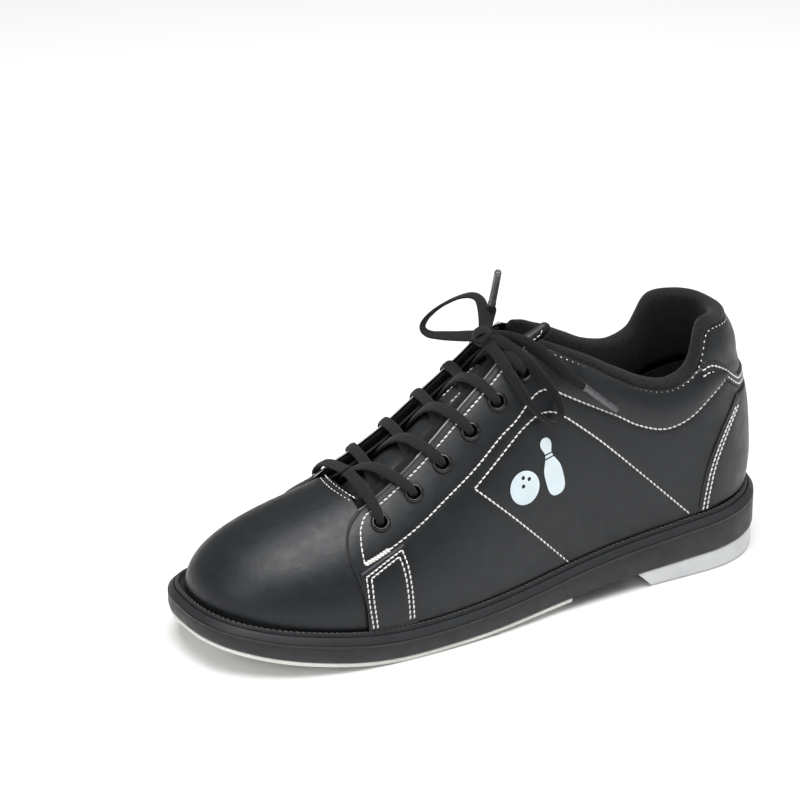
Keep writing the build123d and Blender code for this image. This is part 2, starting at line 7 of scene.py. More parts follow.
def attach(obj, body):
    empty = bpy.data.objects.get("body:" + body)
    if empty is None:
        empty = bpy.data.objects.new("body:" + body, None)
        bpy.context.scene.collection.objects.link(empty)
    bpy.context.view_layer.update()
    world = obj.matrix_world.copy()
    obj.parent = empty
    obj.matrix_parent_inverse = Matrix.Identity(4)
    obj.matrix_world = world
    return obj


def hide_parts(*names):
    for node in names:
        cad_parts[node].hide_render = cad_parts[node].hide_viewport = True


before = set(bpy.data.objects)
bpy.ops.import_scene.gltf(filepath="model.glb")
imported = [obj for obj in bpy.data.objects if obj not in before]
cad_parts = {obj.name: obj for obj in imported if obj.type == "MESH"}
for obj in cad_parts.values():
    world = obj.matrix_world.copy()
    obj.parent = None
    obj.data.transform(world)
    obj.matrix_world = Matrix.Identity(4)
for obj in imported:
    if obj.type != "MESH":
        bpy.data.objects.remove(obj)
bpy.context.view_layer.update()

MM = 0.001          # everything below is in millimetres until it becomes a mesh
NOISE_SEED = 7      # unseeded, noise_vector takes new offsets from the clock on every run

# ---------------------------------------------------------------- the shoe's driving dimensions
TOE_X, HEEL_X = 150.0, -150.0
TOE_START, HEEL_START = 65.0, -105.0
TOE_POWER, HEEL_POWER, UPPER_TOE_POWER, ARCH_POWER = 2.6, 2.2, 2.7, 2.2
TOE_SWING, MIDDLE_Y, FEATHER = 8.5, 2.3, 6.0
LATERAL_WIDTH = [(-105, 41), (-40, 42), (20, 49), (75, 53), (110, 53)]
MEDIAL_WIDTH = [(-105, 37), (-40, 36), (20, 42), (75, 48), (110, 48)]
WELT_TOP = [(-150, 32), (-60, 24.5), (0, 17.5), (60, 14.5), (110, 20.5), (150, 28)]
SOLE_UNDER = [(-150, 12), (-60, 8), (0, 4.4), (35, 2.9), (70, 3.0), (110, 8.5), (150, 17)]
SLIDE_SOLE, SLIDE_BACK = 2.4, -30.0
BREAST_TOP, BREAST_FLOOR = -66.0, -76.0
RIDGE = [(-150, 170), (-60, 152), (-13, 130), (0, 120), (20, 105), (40, 89), (62, 75), (80, 68),
         (100, 64), (120, 62), (150, 61)]
HEEL_BACK = [(28, -144.5), (45, -147), (58, -146.7), (75, -145), (89, -142), (100, -139.5),
             (111, -136), (118, -133), (128, -129)]
HEEL_MIDDLE, SIDE_UNIT = -145.0, 62.0
VAMP_OUT, QUARTER_OUT, OVERLAY_OUT = -0.7, 0.8, 2.0
VAMP_BACK = 70.0
THROAT_TOP_X, THROAT_TOP_HALF, THROAT_WIDEN = -20.0, 10.5, 0.125
QUARTER_TOP = [(-132, 91), (-127, 95), (-122, 99.5), (-115, 103.5), (-110, 104.5), (-103, 101.7),
               (-95, 98.2), (-84.5, 97.5), (-71, 101.8), (-58, 109), (-46, 116.5), (-34, 123),
               (-24, 127.5), (-20, 129.5)]
QUARTER_FRONT = [(0, 77.5), (0.35, 80.5), (0.65, 83), (0.82, 81.5), (0.94, 77), (1, 71)]
COLLAR_LOW = [(-130, 84), (-110, 78), (-95, 73), (-84.5, 72), (-71, 76), (-58, 84), (-46, 93),
              (-34, 103), (-24, 113)]
TAB_FRONT = [(0, -106.0), (0.5, -107.5), (1, -113)]
TAB_TOP = 119.5
TAB_TILT = 1.6       # the tab stands this much higher on the lateral side, and lower on the other
EYELET_X = [64.5, 46.5, 31.0, 15.5, 0.5, -14.0]
EYELET_FROM_EDGE = 9.0
FLAP_LIFT = {1: 0.8, -1: 2.3}    # the facings' free edges stand this far off the foot
FLAP_WIDTH = 9.5
VENT_ROWS, VENT_COLUMNS, VENT_HOLE = 4, 6, 0.8
VENT_FIRST, VENT_ACROSS, VENT_DOWN = (-2.0, 78.0), (-6.0, -2.2), (3.5, -6.0)
KNOT = Vector((-2.5, 5.8, 132.0))


# ---------------------------------------------------------------- the upper's surface
def through(stations, x):
    """Smooth curve through (x, value) stations, level past both ends."""
    if x <= stations[0][0]:
        return stations[0][1]
    if x >= stations[-1][0]:
        return stations[-1][1]
    last = len(stations) - 1
    i = 0
    while stations[i + 1][0] < x:
        i += 1

    def slope(k):
        (x0, y0), (x1, y1) = stations[max(k - 1, 0)], stations[min(k + 1, last)]
        return (y1 - y0) / (x1 - x0)

    (x0, y0), (x1, y1) = stations[i], stations[i + 1]
    step = x1 - x0
    t = (x - x0) / step
    return ((2 * t**3 - 3 * t**2 + 1) * y0 + (t**3 - 2 * t**2 + t) * step * slope(i)
            + (3 * t**2 - 2 * t**3) * y1 + (t**3 - t**2) * step * slope(i + 1))


def spine(x):
    t = min(max(x / TOE_X, 0), 1)
    return MIDDLE_Y - TOE_SWING * t * t * (3 - 2 * t)


def sole_half(x, side, inset):
    return through(LATERAL_WIDTH if side > 0 else MEDIAL_WIDTH, x) - inset


def sole_under(x):
    return through(SOLE_UNDER, x)


def welt_top(x):
    return through(WELT_TOP, x)


def base(x):
    return welt_top(x) + 0.2


def rise(x, d):
    return through(RIDGE, x) - base(x) + d


def toe_part(x, d):
    return max(0.0, (x - TOE_START) / (TOE_X - FEATHER + d - TOE_START))


def heel_part(x, z, d):
    return max(0.0, (HEEL_START - x) / (HEEL_START - through(HEEL_BACK, z) + d))


def half_width(x, z, side, d):
    wide = sole_half(x, side, FEATHER - d)
    high = min(max((z - base(x)) / rise(x, d), 0), 1) ** ARCH_POWER
    if x > 0:
        return wide * max(1 - high - toe_part(x, d) ** UPPER_TOE_POWER, 0) ** (1 / ARCH_POWER)
    return wide * (1 - high) ** (1 / ARCH_POWER) * sqrt(max(1 - heel_part(x, z, d) ** 2, 0))


def crown(x, across, d):
    wide = sole_half(x, 1 if across > 0 else -1, FEATHER - d)
    gone = min(abs(across) / wide, 1) ** ARCH_POWER + toe_part(x, d) ** UPPER_TOE_POWER
    return base(x) + rise(x, d) * max(1 - gone, 0) ** (1 / ARCH_POWER)


def on_crown(x, across, d):
    return Vector((x, spine(x) + across, crown(x, across, d)))


def on_side(x, z, side, d):
    return Vector((x, spine(x) + side * half_width(x, z, side, d), z))


def on_wall(turn, z, side, d):
    if turn >= 1:
        return on_side(HEEL_START + (turn - 1) * SIDE_UNIT, z, side, d)
    back = HEEL_START - through(HEEL_BACK, z) + d
    return on_side(HEEL_START - back * sin((1 - turn) * pi / 2), z, side, d)


def turn_at(x, z):
    if x >= HEEL_START:
        return 1 + (x - HEEL_START) / SIDE_UNIT
    return 1 - asin(min(heel_part(x, z, 0), 1)) * 2 / pi


def wall_x(turn):
    if turn >= 1:
        return HEEL_START + (turn - 1) * SIDE_UNIT
    return HEEL_START - (HEEL_START - HEEL_MIDDLE) * sin((1 - turn) * pi / 2)


def climb(x, low, high, v):
    def angle(z):
        return asin(min(max((z - base(x)) / rise(x, 0), 0), 1) ** (ARCH_POWER / 2))
    middle = angle(low) + (angle(high) - angle(low)) * v
    return base(x) + rise(x, 0) * sin(middle) ** (2 / ARCH_POWER)


def crown_normal(x, across):
    step = 0.05
    along = (crown(x + step, across, 0) - crown(x - step, across, 0)) / (2 * step)
    aside = (crown(x, across + step, 0) - crown(x, across - step, 0)) / (2 * step)
    return Vector((-along, -aside, 1)).normalized()


def lifted(x, across, height):
    return on_crown(x, across, 0) + crown_normal(x, across) * height


def throat_half(x):
    return THROAT_TOP_HALF + (x - THROAT_TOP_X) * THROAT_WIDEN


def quarter_top(x, side):
    if x > THROAT_TOP_X:
        return crown(x, side * throat_half(x), 0)
    return through(QUARTER_TOP, x)


def eyelet_across(i, side):
    return side * (throat_half(EYELET_X[i]) + EYELET_FROM_EDGE)


def flap(x, across):
    """How far a facing's free edge lifts here."""
    side = 1 if across > 0 else -1
    gap = abs(across) - throat_half(x)
    if gap > FLAP_WIDTH or gap < -1 or x < THROAT_TOP_X - 5:
        return 0.0
    ends = min(max((x - THROAT_TOP_X + 5) / 12, 0), 1) * min(max((73 - x) / 12, 0), 1)
    return FLAP_LIFT[side] * ends * (1 - max(gap, 0) / FLAP_WIDTH) ** 2


def on_flap(x, across, height):
    return lifted(x, across, height + flap(x, across))


# ---------------------------------------------------------------- camera, lights and floor
def add_object(name, data):
    made = bpy.data.objects.new(name, data)
    bpy.context.scene.collection.objects.link(made)
    return made


def baked(thing):
    """The mesh that a thing shows with its modifiers or its curve."""
    return bpy.data.meshes.new_from_object(thing.evaluated_get(bpy.context.evaluated_depsgraph_get()))


def aim(thing, direction):
    thing.rotation_mode = "QUATERNION"
    thing.rotation_quaternion = direction.to_track_quat("-Z", "Y")


def make_camera():
    azimuth, elevation, distance = radians(149.66), radians(26.25), 1.906
    target = Vector((0, MIDDLE_Y * MM, 0.05))
    back = Vector((sin(azimuth) * cos(elevation), -cos(azimuth) * cos(elevation), sin(elevation)))
    right = (-back).cross(Vector((0, 0, 1))).normalized()
    up = right.cross(-back)
    camera = add_object("camera", bpy.data.cameras.new("camera"))
    camera.data.lens = 182.3
    camera.data.sensor_width = 36
    camera.location = target + back * distance
    centre = target - right * 0.0347 + up * 0.0437
    aim(camera, centre - camera.location)
    bpy.context.scene.camera = camera


def softbox(name, place, size, power):
    data = bpy.data.lights.new(name, "AREA")
    data.shape = "RECTANGLE"
    data.size, data.size_y = size
    data.energy = power
    light = add_object(name, data)
    light.location = place
    aim(light, Vector((0, 0, 0.05)) - light.location)


def make_stage():
    floor_mesh = bpy.data.meshes.new("floor")
    half = 12
    corners = [(-half, -half, 0), (half, -half, 0), (half, half, 0), (-half, half, 0)]
    floor_mesh.from_pydata(corners, [], [(0, 1, 2, 3)])
    floor = add_object("floor", floor_mesh)
    paper, nodes, links, shader = new_material("pale_floor")
    shader.inputs["Base Color"].default_value = (0.93, 0.93, 0.93, 1)
    shader.inputs["Roughness"].default_value = 0.9
    floor_mesh.materials.append(paper)
    world = bpy.data.worlds.new("studio")
    world.use_nodes = True
    world.node_tree.nodes["Background"].inputs[0].default_value = (1, 1, 1, 1)
    world.node_tree.nodes["Background"].inputs[1].default_value = 0.3
    bpy.context.scene.world = world
    bpy.context.scene.view_settings.view_transform = "Standard"
    softbox("top_light", (0.1, 0.2, 1.5), (1.3, 1.3), 33)
    softbox("toe_light", (1.4, 0.5, 0.9), (0.7, 0.7), 5)
    softbox("heel_light", (-1.4, 0.9, 0.9), (0.6, 0.8), 2.5)


# ---------------------------------------------------------------- materials
def new_material(name):
    made = bpy.data.materials.new(name)
    made.use_nodes = True
    nodes, links = made.node_tree.nodes, made.node_tree.links
    return made, nodes, links, nodes["Principled BSDF"]


def add_noise(nodes, links, scale, detail):
    place = nodes.new("ShaderNodeTexCoord")
    texture = nodes.new("ShaderNodeTexNoise")
    texture.inputs["Scale"].default_value = scale
    texture.inputs["Detail"].default_value = detail
    links.new(place.outputs["Object"], texture.inputs["Vector"])
    return texture.outputs["Fac"]


def add_ramp(nodes, links, value, low, high, colors):
    ramp = nodes.new("ShaderNodeValToRGB")
    ramp.color_ramp.elements[0].position = low
    ramp.color_ramp.elements[1].position = high
    for element, color in zip(ramp.color_ramp.elements, colors):
        element.color = (*color, 1)
    links.new(value, ramp.inputs["Fac"])
    return ramp.outputs["Color"]


def add_range(nodes, links, value, low, high):
    spread = nodes.new("ShaderNodeMapRange")
    spread.inputs["From Min"].default_value = 0.3
    spread.inputs["From Max"].default_value = 0.7
    spread.inputs["To Min"].default_value = low
    spread.inputs["To Max"].default_value = high
    links.new(value, spread.inputs["Value"])
    return spread.outputs["Result"]


def add_bump(nodes, links, height, depth, strength, before=None):
    bump = nodes.new("ShaderNodeBump")
    bump.inputs["Strength"].default_value = strength
    bump.inputs["Distance"].default_value = depth
    links.new(height, bump.inputs["Height"])
    if before is not None:
        links.new(before, bump.inputs["Normal"])
    return bump.outputs["Normal"]


def leather(name, dark, light, rough=(0.36, 0.5), grain=0.00012):
    made, nodes, links, shader = new_material(name)
    tone = add_noise(nodes, links, 22, 4)
    links.new(add_ramp(nodes, links, tone, 0.3, 0.72, (dark, light)), shader.inputs["Base Color"])
    links.new(add_range(nodes, links, add_noise(nodes, links, 160, 5), *rough), shader.inputs["Roughness"])
    cells = nodes.new("ShaderNodeTexVoronoi")
    cells.feature = "DISTANCE_TO_EDGE"
    cells.inputs["Scale"].default_value = 1300
    links.new(nodes.new("ShaderNodeTexCoord").outputs["Object"], cells.inputs["Vector"])
    pebbles = add_bump(nodes, links, cells.outputs["Distance"], grain, 0.5)
    folds = add_bump(nodes, links, add_noise(nodes, links, 420, 6), grain * 1.6, 0.5, pebbles)
    links.new(folds, shader.inputs["Normal"])
    shader.inputs["Specular IOR Level"].default_value = 0.42
    return made


def cloth(name, dark, light, sheen, fuzz, scale):
    made, nodes, links, shader = new_material(name)
    tone = add_noise(nodes, links, scale * 0.4, 4)
    links.new(add_ramp(nodes, links, tone, 0.32, 0.7, (dark, light)), shader.inputs["Base Color"])
    soft = add_bump(nodes, links, add_noise(nodes, links, scale, 3), fuzz, 0.8)
    clumps = add_bump(nodes, links, add_noise(nodes, links, scale * 0.25, 4), fuzz, 0.5, soft)
    links.new(clumps, shader.inputs["Normal"])
    shader.inputs["Roughness"].default_value = 0.95
    shader.inputs["Sheen Weight"].default_value = sheen
    shader.inputs["Sheen Roughness"].default_value = 0.4
    return made


def moulded(name, dark, light, rough=(0.45, 0.62), bumps=0.00008, scale=900):
    made, nodes, links, shader = new_material(name)
    tone = add_noise(nodes, links, 60, 5)
    links.new(add_ramp(nodes, links, tone, 0.3, 0.7, (dark, light)), shader.inputs["Base Color"])
    links.new(add_range(nodes, links, add_noise(nodes, links, 220, 4), *rough), shader.inputs["Roughness"])
    links.new(add_bump(nodes, links, add_noise(nodes, links, scale, 4), bumps, 0.6), shader.inputs["Normal"])
    return made


def make_materials():
    book = {
        "upper": leather("black_leather", (0.0050, 0.0064, 0.0080), (0.0088, 0.0106, 0.0128)),
        "overlay": leather("black_overlay_leather", (0.0052, 0.0066, 0.0082), (0.0090, 0.0108, 0.0130)),
        "tongue": leather("soft_tongue_leather", (0.0095, 0.0105, 0.0120), (0.0150, 0.0165, 0.0185)),
        # cut edges and rounded lips: partly the cut edge's own lighter colour, partly a painted highlight
        # along each panel's edge
        "edge": leather("cut_edge_and_painted_highlight", (0.030, 0.032, 0.034), (0.080, 0.084, 0.088), (0.5, 0.7), 0.0002),
        # throat and topline rims of the quarters: pale grey, partly the raw edge's own colour, partly a
        # painted highlight
        "raw_edge_and_highlight": leather("pale_edge_and_painted_highlight", (0.26, 0.27, 0.28), (0.62, 0.63, 0.64), (0.6, 0.8), 0.0003),
        "fuzz": cloth("brushed_lining", (0.0015, 0.0015, 0.0018), (0.008, 0.008, 0.0085), 0.10, 0.0006, 1300),
        "lining": cloth("woven_lining", (0.0015, 0.0015, 0.0018), (0.005, 0.005, 0.0055), 0.06, 0.0003, 2000),
        "lace": cloth("black_lace", (0.0022, 0.0024, 0.0028), (0.0075, 0.008, 0.009), 0.10, 0.0002, 3000),
        "thread": cloth("white_thread", (0.62, 0.62, 0.60), (0.86, 0.86, 0.84), 0.2, 0.0001, 4000),
        # welt seam: black thread painted grey, a painted highlight on the thread
        "dark_thread": cloth("black_thread_with_painted_highlight", (0.030, 0.030, 0.032), (0.11, 0.11, 0.115), 0.1, 0.0001, 4000),
        "welt": moulded("black_welt_rubber", (0.0060, 0.0070, 0.0085), (0.0115, 0.013, 0.015)),
        "midsole": moulded("black_midsole_rubber", (0.0055, 0.0062, 0.0072), (0.0095, 0.0105, 0.0120)),
        "slide": moulded("off_white_slide_leather", (0.60, 0.59, 0.56), (0.74, 0.73, 0.70), (0.7, 0.9),
                         0.00012, 1500),
        "heel": moulded("pale_grey_heel_rubber", (0.56, 0.57, 0.58), (0.68, 0.69, 0.70), (0.5, 0.65)),
        "metal": moulded("black_enamel", (0.004, 0.004, 0.005), (0.008, 0.008, 0.009), (0.06, 0.12),
                         0.00002, 500),
        "print": moulded("pale_print", (0.62, 0.72, 0.76), (0.76, 0.86, 0.90), (0.35, 0.5), 0.00003, 1200),
        "inner_board": moulded("fibre_board", (0.20, 0.17, 0.13), (0.30, 0.26, 0.20), (0.7, 0.9)),
    }
    aglet, nodes, links, shader = new_material("dark_clear_plastic")
    greys = ((0.035, 0.037, 0.040), (0.075, 0.079, 0.084))
    tone = add_noise(nodes, links, 300, 3)
    links.new(add_ramp(nodes, links, tone, 0.3, 0.7, greys), shader.inputs["Base Color"])
    links.new(add_bump(nodes, links, add_noise(nodes, links, 700, 3), 0.00008, 0.6), shader.inputs["Normal"])
    shader.inputs["Roughness"].default_value = 0.22
    shader.inputs["Coat Weight"].default_value = 0.6
    book["aglet"] = aglet
    return book


# ---------------------------------------------------------------- mesh helpers
def add_piece(name, points, faces, looks, body, shares=None):
    """One object from points in millimetres. shares gives each face's material number."""
    mesh = bpy.data.meshes.new(name)
    mesh.from_pydata([Vector(p) * MM for p in points], [], faces)
    for look in looks:
        mesh.materials.append(look)
    if shares:
        mesh.polygons.foreach_set("material_index", shares)
    mesh.polygons.foreach_set("use_smooth", [True] * len(mesh.polygons))
    mesh.update()
    piece = add_object(name, mesh)
    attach(piece, body)
    return piece


def tidy_normals(piece):
    """Turns every face outwards."""
    shell = bmesh.new()
    shell.from_mesh(piece.data)
    bmesh.ops.recalc_face_normals(shell, faces=shell.faces)
    shell.to_mesh(piece.data)
    shell.free()


def tube_faces(rings, around, start=0):
    """Faces of a tube whose points come ring by ring, with both its ends closed."""
    faces = []
    for k in range(rings - 1):
        for j in range(around):
            a, b = start + k * around + j, start + k * around + (j + 1) % around
            faces.append((a, b, b + around, a + around))
    last = start + (rings - 1) * around
    return faces + [tuple(start + j for j in reversed(range(around))), tuple(last + j for j in range(around))]


def turned_faces(around, rows, start=0):
    """Faces of a turned ring whose points come profile by profile."""
    faces = []
    for k in range(around):
        a, b = start + k * rows, start + (k + 1) % around * rows
        for j in range(rows):
            faces.append((a + j, b + j, b + (j + 1) % rows, a + (j + 1) % rows))
    return faces


def soften(piece):
    rounder = piece.modifiers.new("soften", "SUBSURF")
    rounder.levels = rounder.render_levels = 1


def spaced(length, step, lip):
    """Parameters along a length, closer at its ends, each with its distance from the nearer end."""
    marks = [0.0, 0.1 * lip, 0.35 * lip, 0.7 * lip, 1.1 * lip]
    free = length - 2 * marks[-1]
    count = max(2, round(free / step))
    places = marks + [marks[-1] + free * k / count for k in range(1, count)]
    places += [length - mark for mark in reversed(marks)]
    return [(p / length, min(p, length - p)) for p in places]


def rolled(distance, lip):
    """How far a rounded edge falls at a distance from the edge."""
    short = 1 - min(distance / lip, 1)
    return lip * (1 - sqrt(1 - short * short))


def panel(name, place, size, outer, inner, looks, relief=None, lip=0.7, step=1.3, body="shoe"):
    """A closed sheet of leather over place(u, v, offset), with rounded edges and a cut edge all round."""
    us = spaced(size[0], step, lip)
    vs = spaced(size[1], step, lip)
    points = []
    for u, du in us:
        for v, dv in vs:
            level = max(outer - rolled(du, lip) - rolled(dv, lip), inner + 0.15)
            here = place(u, v, level)
            if relief:
                out = (place(u, v, level + 0.5) - here).normalized()
                here = here + out * relief(here) * min(du / 2, dv / 2, 1)
            points.append(here)
    points += [place(u, v, inner) for u, du in us for v, dv in vs]
    rows = len(vs)
    below = len(us) * rows
    faces, shares = [], []
    for i in range(len(us) - 1):
        for j in range(rows - 1):
            a, b, c, d = i * rows + j, (i + 1) * rows + j, (i + 1) * rows + j + 1, i * rows + j + 1
            faces += [(a, b, c, d), (below + d, below + c, below + b, below + a)]
            # the outermost row and the rim take look 1, the edge skin with its painted highlight
            edge = i < 1 or j < 1 or i > len(us) - 3 or j > rows - 3
            shares += [1 if edge else 0, 0]
    # the last look goes on the rim of the top border; on the quarters this is the pale edge with its painted
    # highlight
    free_edge = len(looks) - 1
    border = [i * rows for i in range(len(us))] + [(len(us) - 1) * rows + j for j in range(1, rows)]
    border += [i * rows + rows - 1 for i in range(len(us) - 2, -1, -1)] + list(range(rows - 2, 0, -1))
    for near, far in zip(border, border[1:] + border[:1]):
        faces.append((far, near, below + near, below + far))
        shares.append(free_edge if near % rows == rows - 1 and far % rows == rows - 1 else 1)
    piece = add_piece(name, points, faces, looks, body, shares)
    tidy_normals(piece)
    return piece


def punch(piece, holes, look_number):
    """Cuts round holes, given as (middle, axis, radius, reach), through a piece."""
    points, faces = [], []
    around = 20
    for middle, axis, radius, reach in holes:
        aside = axis.orthogonal().normalized()
        other = axis.cross(aside)
        start = len(points)
        for end in (-reach, reach):
            for k in range(around):
                angle = 2 * pi * k / around
                points.append((middle + axis * end + (aside * cos(angle) + other * sin(angle)) * radius) * MM)
        faces += tube_faces(2, around, start)
    mesh = bpy.data.meshes.new("punches")
    mesh.from_pydata(points, [], faces)
    for look in piece.data.materials:
        mesh.materials.append(look)
    mesh.polygons.foreach_set("material_index", [look_number] * len(faces))
    cutter = add_object("punches", mesh)
    tidy_normals(cutter)
    cut = piece.modifiers.new("holes", "BOOLEAN")
    cut.operation = "DIFFERENCE"
    cut.solver = "EXACT"
    cut.object = cutter
    punched = baked(piece)
    piece.modifiers.clear()
    piece.data = punched
    bpy.data.objects.remove(cutter)


# ---------------------------------------------------------------- seams
def smooth(points, step=1.0):
    """Evenly spaced points along a smooth line through a few points of the same dimension."""
    ends = [points[0]] + list(points) + [points[-1]]
    dense = []
    for a, b, c, d in zip(ends, ends[1:], ends[2:], ends[3:]):
        for k in range(24):
            t = k / 24
            dense.append(tuple(0.5 * (2 * q + (r - p) * t + (2 * p - 5 * q + 4 * r - s) * t * t
                                      + (3 * q - p - 3 * r + s) * t**3) for p, q, r, s in zip(a, b, c, d)))
    dense.append(tuple(points[-1]))
    return evenly(dense, step)


def evenly(line, step):
    """The same line with points at equal steps."""
    gone = [0.0]
    for a, b in zip(line, line[1:]):
        gone.append(gone[-1] + sqrt(sum((q - p) ** 2 for p, q in zip(a, b))))
    count = max(1, round(gone[-1] / step))
    even, at = [], 0
    for k in range(count + 1):
        want = gone[-1] * k / count
        while at < len(gone) - 2 and gone[at + 1] < want:
            at += 1
        t = (want - gone[at]) / max(gone[at + 1] - gone[at], 1e-9)
        even.append(tuple(p + (q - p) * t for p, q in zip(line[at], line[at + 1])))
    return even


def wall_spot(turn, z, side, d):
    """A place on the wall, and the wall's normal there."""
    place = on_wall(turn, z, side, d)
    return place, (on_wall(turn, z, side, d + 0.5) - place).normalized()


def side_seam(line, side, d):
    """Places and normals along a line given in the side view as (x, z)."""
    return [wall_spot(turn_at(x, z), z, side, d) for x, z in line]


def crown_seam(line, d):
    """The same along a line given from above, as (x, distance from the centre line)."""
    return [(lifted(x, across, d), crown_normal(x, across)) for x, across in line]


FACING_LINE = [(77.4, 47.7), (64.6, 52), (48.4, 60), (31.8, 71), (17.4, 81), (3, 92.4), (-5.5, 98),
               (-14, 105.5), (-20, 109), (-26, 108.5), (-35, 103.5), (-50, 95), (-60, 89.3), (-69, 83.5),
               (-81, 78.6), (-90, 78), (-100, 81), (-111, 88.5), (-119, 93), (-125, 96.5)]
PANEL_TOP = [(19.7, 72.3), (6, 83), (-7, 93.4)]
PANEL_PEAK = [(-7, 93.4), (-14, 97.5), (-20, 99.3), (-26.6, 98.2), (-31, 95)]
PANEL_BACK = [(-31, 95.5), (-49, 80), (-73, 56.6), (-98.6, 31)]
PANEL_FRONT = [(19.7, 72.3), (-2.3, 51.5), (-30.5, 22.8)]
FRONT_LINE = [(77.4, 47.7), (76.6, 54.5), (74.4, 60.2)]
PATCH_OUT = ([(77.6, 18.5), (78.9, 31), (78.6, 43)], [(78.6, 43), (59.3, 51.8)],
             [(59.3, 51.8), (57.6, 42), (56.8, 19)])
PATCH_IN = ([(75.6, 18.5), (76.6, 31), (76.3, 42.2)], [(76.3, 42.2), (61.2, 49.2)],
            [(61.2, 49.2), (59.7, 41), (58.9, 19)])
BACKTACK = [(77.2, 47.9), (70.5, 50), (64.5, 52.3)]
HEEL_PATCH_EDGE = [(30, -103.5), (42, -105.5), (55, -109), (70, -117), (84, -129)]
HEEL_SEAM_Z = [32, 36, 40, 45, 50, 55, 60, 65, 70, 75, 79]
EDGE_SEAM = {1: 3.6, -1: 2.6}    # the facings' edge seams lie this far from the throat


def quarter_seams(side):
    """White seams of one side, as lists of (place, normal)."""
    d = QUARTER_OUT
    panel_line = smooth(PANEL_TOP) + smooth(PANEL_PEAK)[1:] + smooth(PANEL_BACK)[1:]
    seams = [side_seam(line, side, d) for line in (smooth(FACING_LINE), panel_line, smooth(PANEL_FRONT))]
    front = side_seam(smooth(FRONT_LINE), side, d)
    edge = [(x, side * (throat_half(x) + EDGE_SEAM[side])) for x in range(70, -21, -1)]
    seams.append(front + [(on_flap(x, across, d), crown_normal(x, across)) for x, across in edge])
    return seams


def overlay_seams(side):
    seams = [side_seam(smooth(line), side, OVERLAY_OUT) for line in PATCH_OUT + PATCH_IN]
    for inset in (1.7, 3.9):
        line = [(through(HEEL_PATCH_EDGE, z) - inset, z - 0.5) for z in HEEL_SEAM_Z]
        seams.append(side_seam(smooth(line), side, OVERLAY_OUT))
    turns = [turn_at(-105.8, 100) * k / 40 for k in range(41)]
    for fall in (0.6, 3.6):
        seams.append([wall_spot(turn, through(QUARTER_TOP, wall_x(turn)) - fall, side, OVERLAY_OUT)
                      for turn in turns])
    return seams


def make_groove_finder(seams):
    """A function that gives the distance from a place to the nearest seam."""
    places = [place for seam in seams for place, normal in seam]
    tree = kdtree.KDTree(len(places))
    for number, place in enumerate(places):
        tree.insert(place, number)
    tree.balance()
    return lambda place: tree.find(place)[2]


def stitches(name, seams, pitch, length, radius, look, body="shoe", sink=0.1,
             slant=0.12):
    """One thread of separate stitches along each seam."""
    points, faces = [], []
    sides, rings = 6, ((-1.0, 0.25), (-0.8, 0.8), (0.0, 1.0), (0.8, 0.8), (1.0, 0.25))
    for seam in seams:
        line = evenly([tuple(place) + tuple(normal) for place, normal in seam], pitch)
        for here, there in zip(line, line[1:]):
            a, b = Vector(here[:3]), Vector(there[:3])
            normal = Vector(here[3:]).normalized()
            along = (b - a).normalized()
            aside = along.cross(normal).normalized()
            along = (along + aside * slant).normalized()
            aside = along.cross(normal).normalized()
            middle = (a + b) / 2 - normal * sink
            start = len(points)
            for reach, share in rings:
                dip = normal * (radius * 0.9 * abs(reach) ** 3)
                for k in range(sides):
                    angle = 2 * pi * k / sides
                    points.append(middle + along * (reach * length / 2) - dip
                                  + (aside * cos(angle) + normal * sin(angle)) * radius * share)
            faces += tube_faces(len(rings), sides, start)
    tidy_normals(add_piece(name, points, faces, [look], body))


# ---------------------------------------------------------------- the upper
VAMP_IN, QUARTER_IN, OVERLAY_IN = -1.9, -0.5, 0.9
STRIP_OUT, STRIP_IN = -0.7, -2.2
STRIP_FRONT, STRIP_LENGTH, STRIP_FROM_EDGE, STRIP_WIDTH = 67, 86, 0.5, 13.5
EYELET_PUNCH, EYELET_REACH, VENT_REACH = 3.5, 4.0, 6.0
PATCH_FOOT, PATCH_TOP, PATCH_HEIGHT = (79.5, 54.5), (80.5, 57.5), (44.5, 54.0)
HEEL_PATCH_LOW, HEEL_PATCH_HIGH = welt_top(-120) + 3, 83.5


def toe_cap(back):
    start = max(back - TOE_START, 0) / (TOE_X - FEATHER - TOE_START)
    first = asin(start ** (UPPER_TOE_POWER / 2))
    last = radians(89.4)

    def place(u, v, d):
        part = sin(first + (last - first) * u) ** (2 / UPPER_TOE_POWER)
        x = TOE_START + (TOE_X - FEATHER + d - TOE_START) * part
        left = (1 - part ** UPPER_TOE_POWER) ** (1 / ARCH_POWER)
        side = 1 if v < 0.5 else -1
        angle = pi * v if v < 0.5 else pi * (1 - v)
        across = side * sole_half(x, side, FEATHER - d) * left * cos(angle) ** (2 / ARCH_POWER)
        return Vector((x, spine(x) + across, base(x) + rise(x, d) * left * sin(angle) ** (2 / ARCH_POWER)))
    return place


def quarter(side):
    def place(u, v, d):
        front = turn_at(through(QUARTER_FRONT, v), 40)
        turn = front * (1 - u) + 0.002
        x = wall_x(turn)
        spot = on_wall(turn, climb(x, base(x), quarter_top(x, side), v), side, d)
        across = spot.y - spine(x)
        lift = flap(x, across)
        return spot + crown_normal(x, across) * lift if lift > 0 else spot
    return place


def facing_lining(side):
    """The dark lining strip under a facing."""
    def place(u, v, d):
        x = STRIP_FRONT - STRIP_LENGTH * u
        across = side * (throat_half(x) + STRIP_FROM_EDGE + STRIP_WIDTH * (1 - v))
        return on_flap(x, across, d)
    return place


def mix(pair, share):
    return pair[0] + (pair[1] - pair[0]) * share


def side_patch(side):
    def place(u, v, d):
        x = mix((mix((PATCH_FOOT[0], PATCH_TOP[0]), v), mix((PATCH_FOOT[1], PATCH_TOP[1]), v)), u)
        top = mix(PATCH_HEIGHT, u)
        return on_side(x, base(x) + (top - base(x)) * v, side, d)
    return place


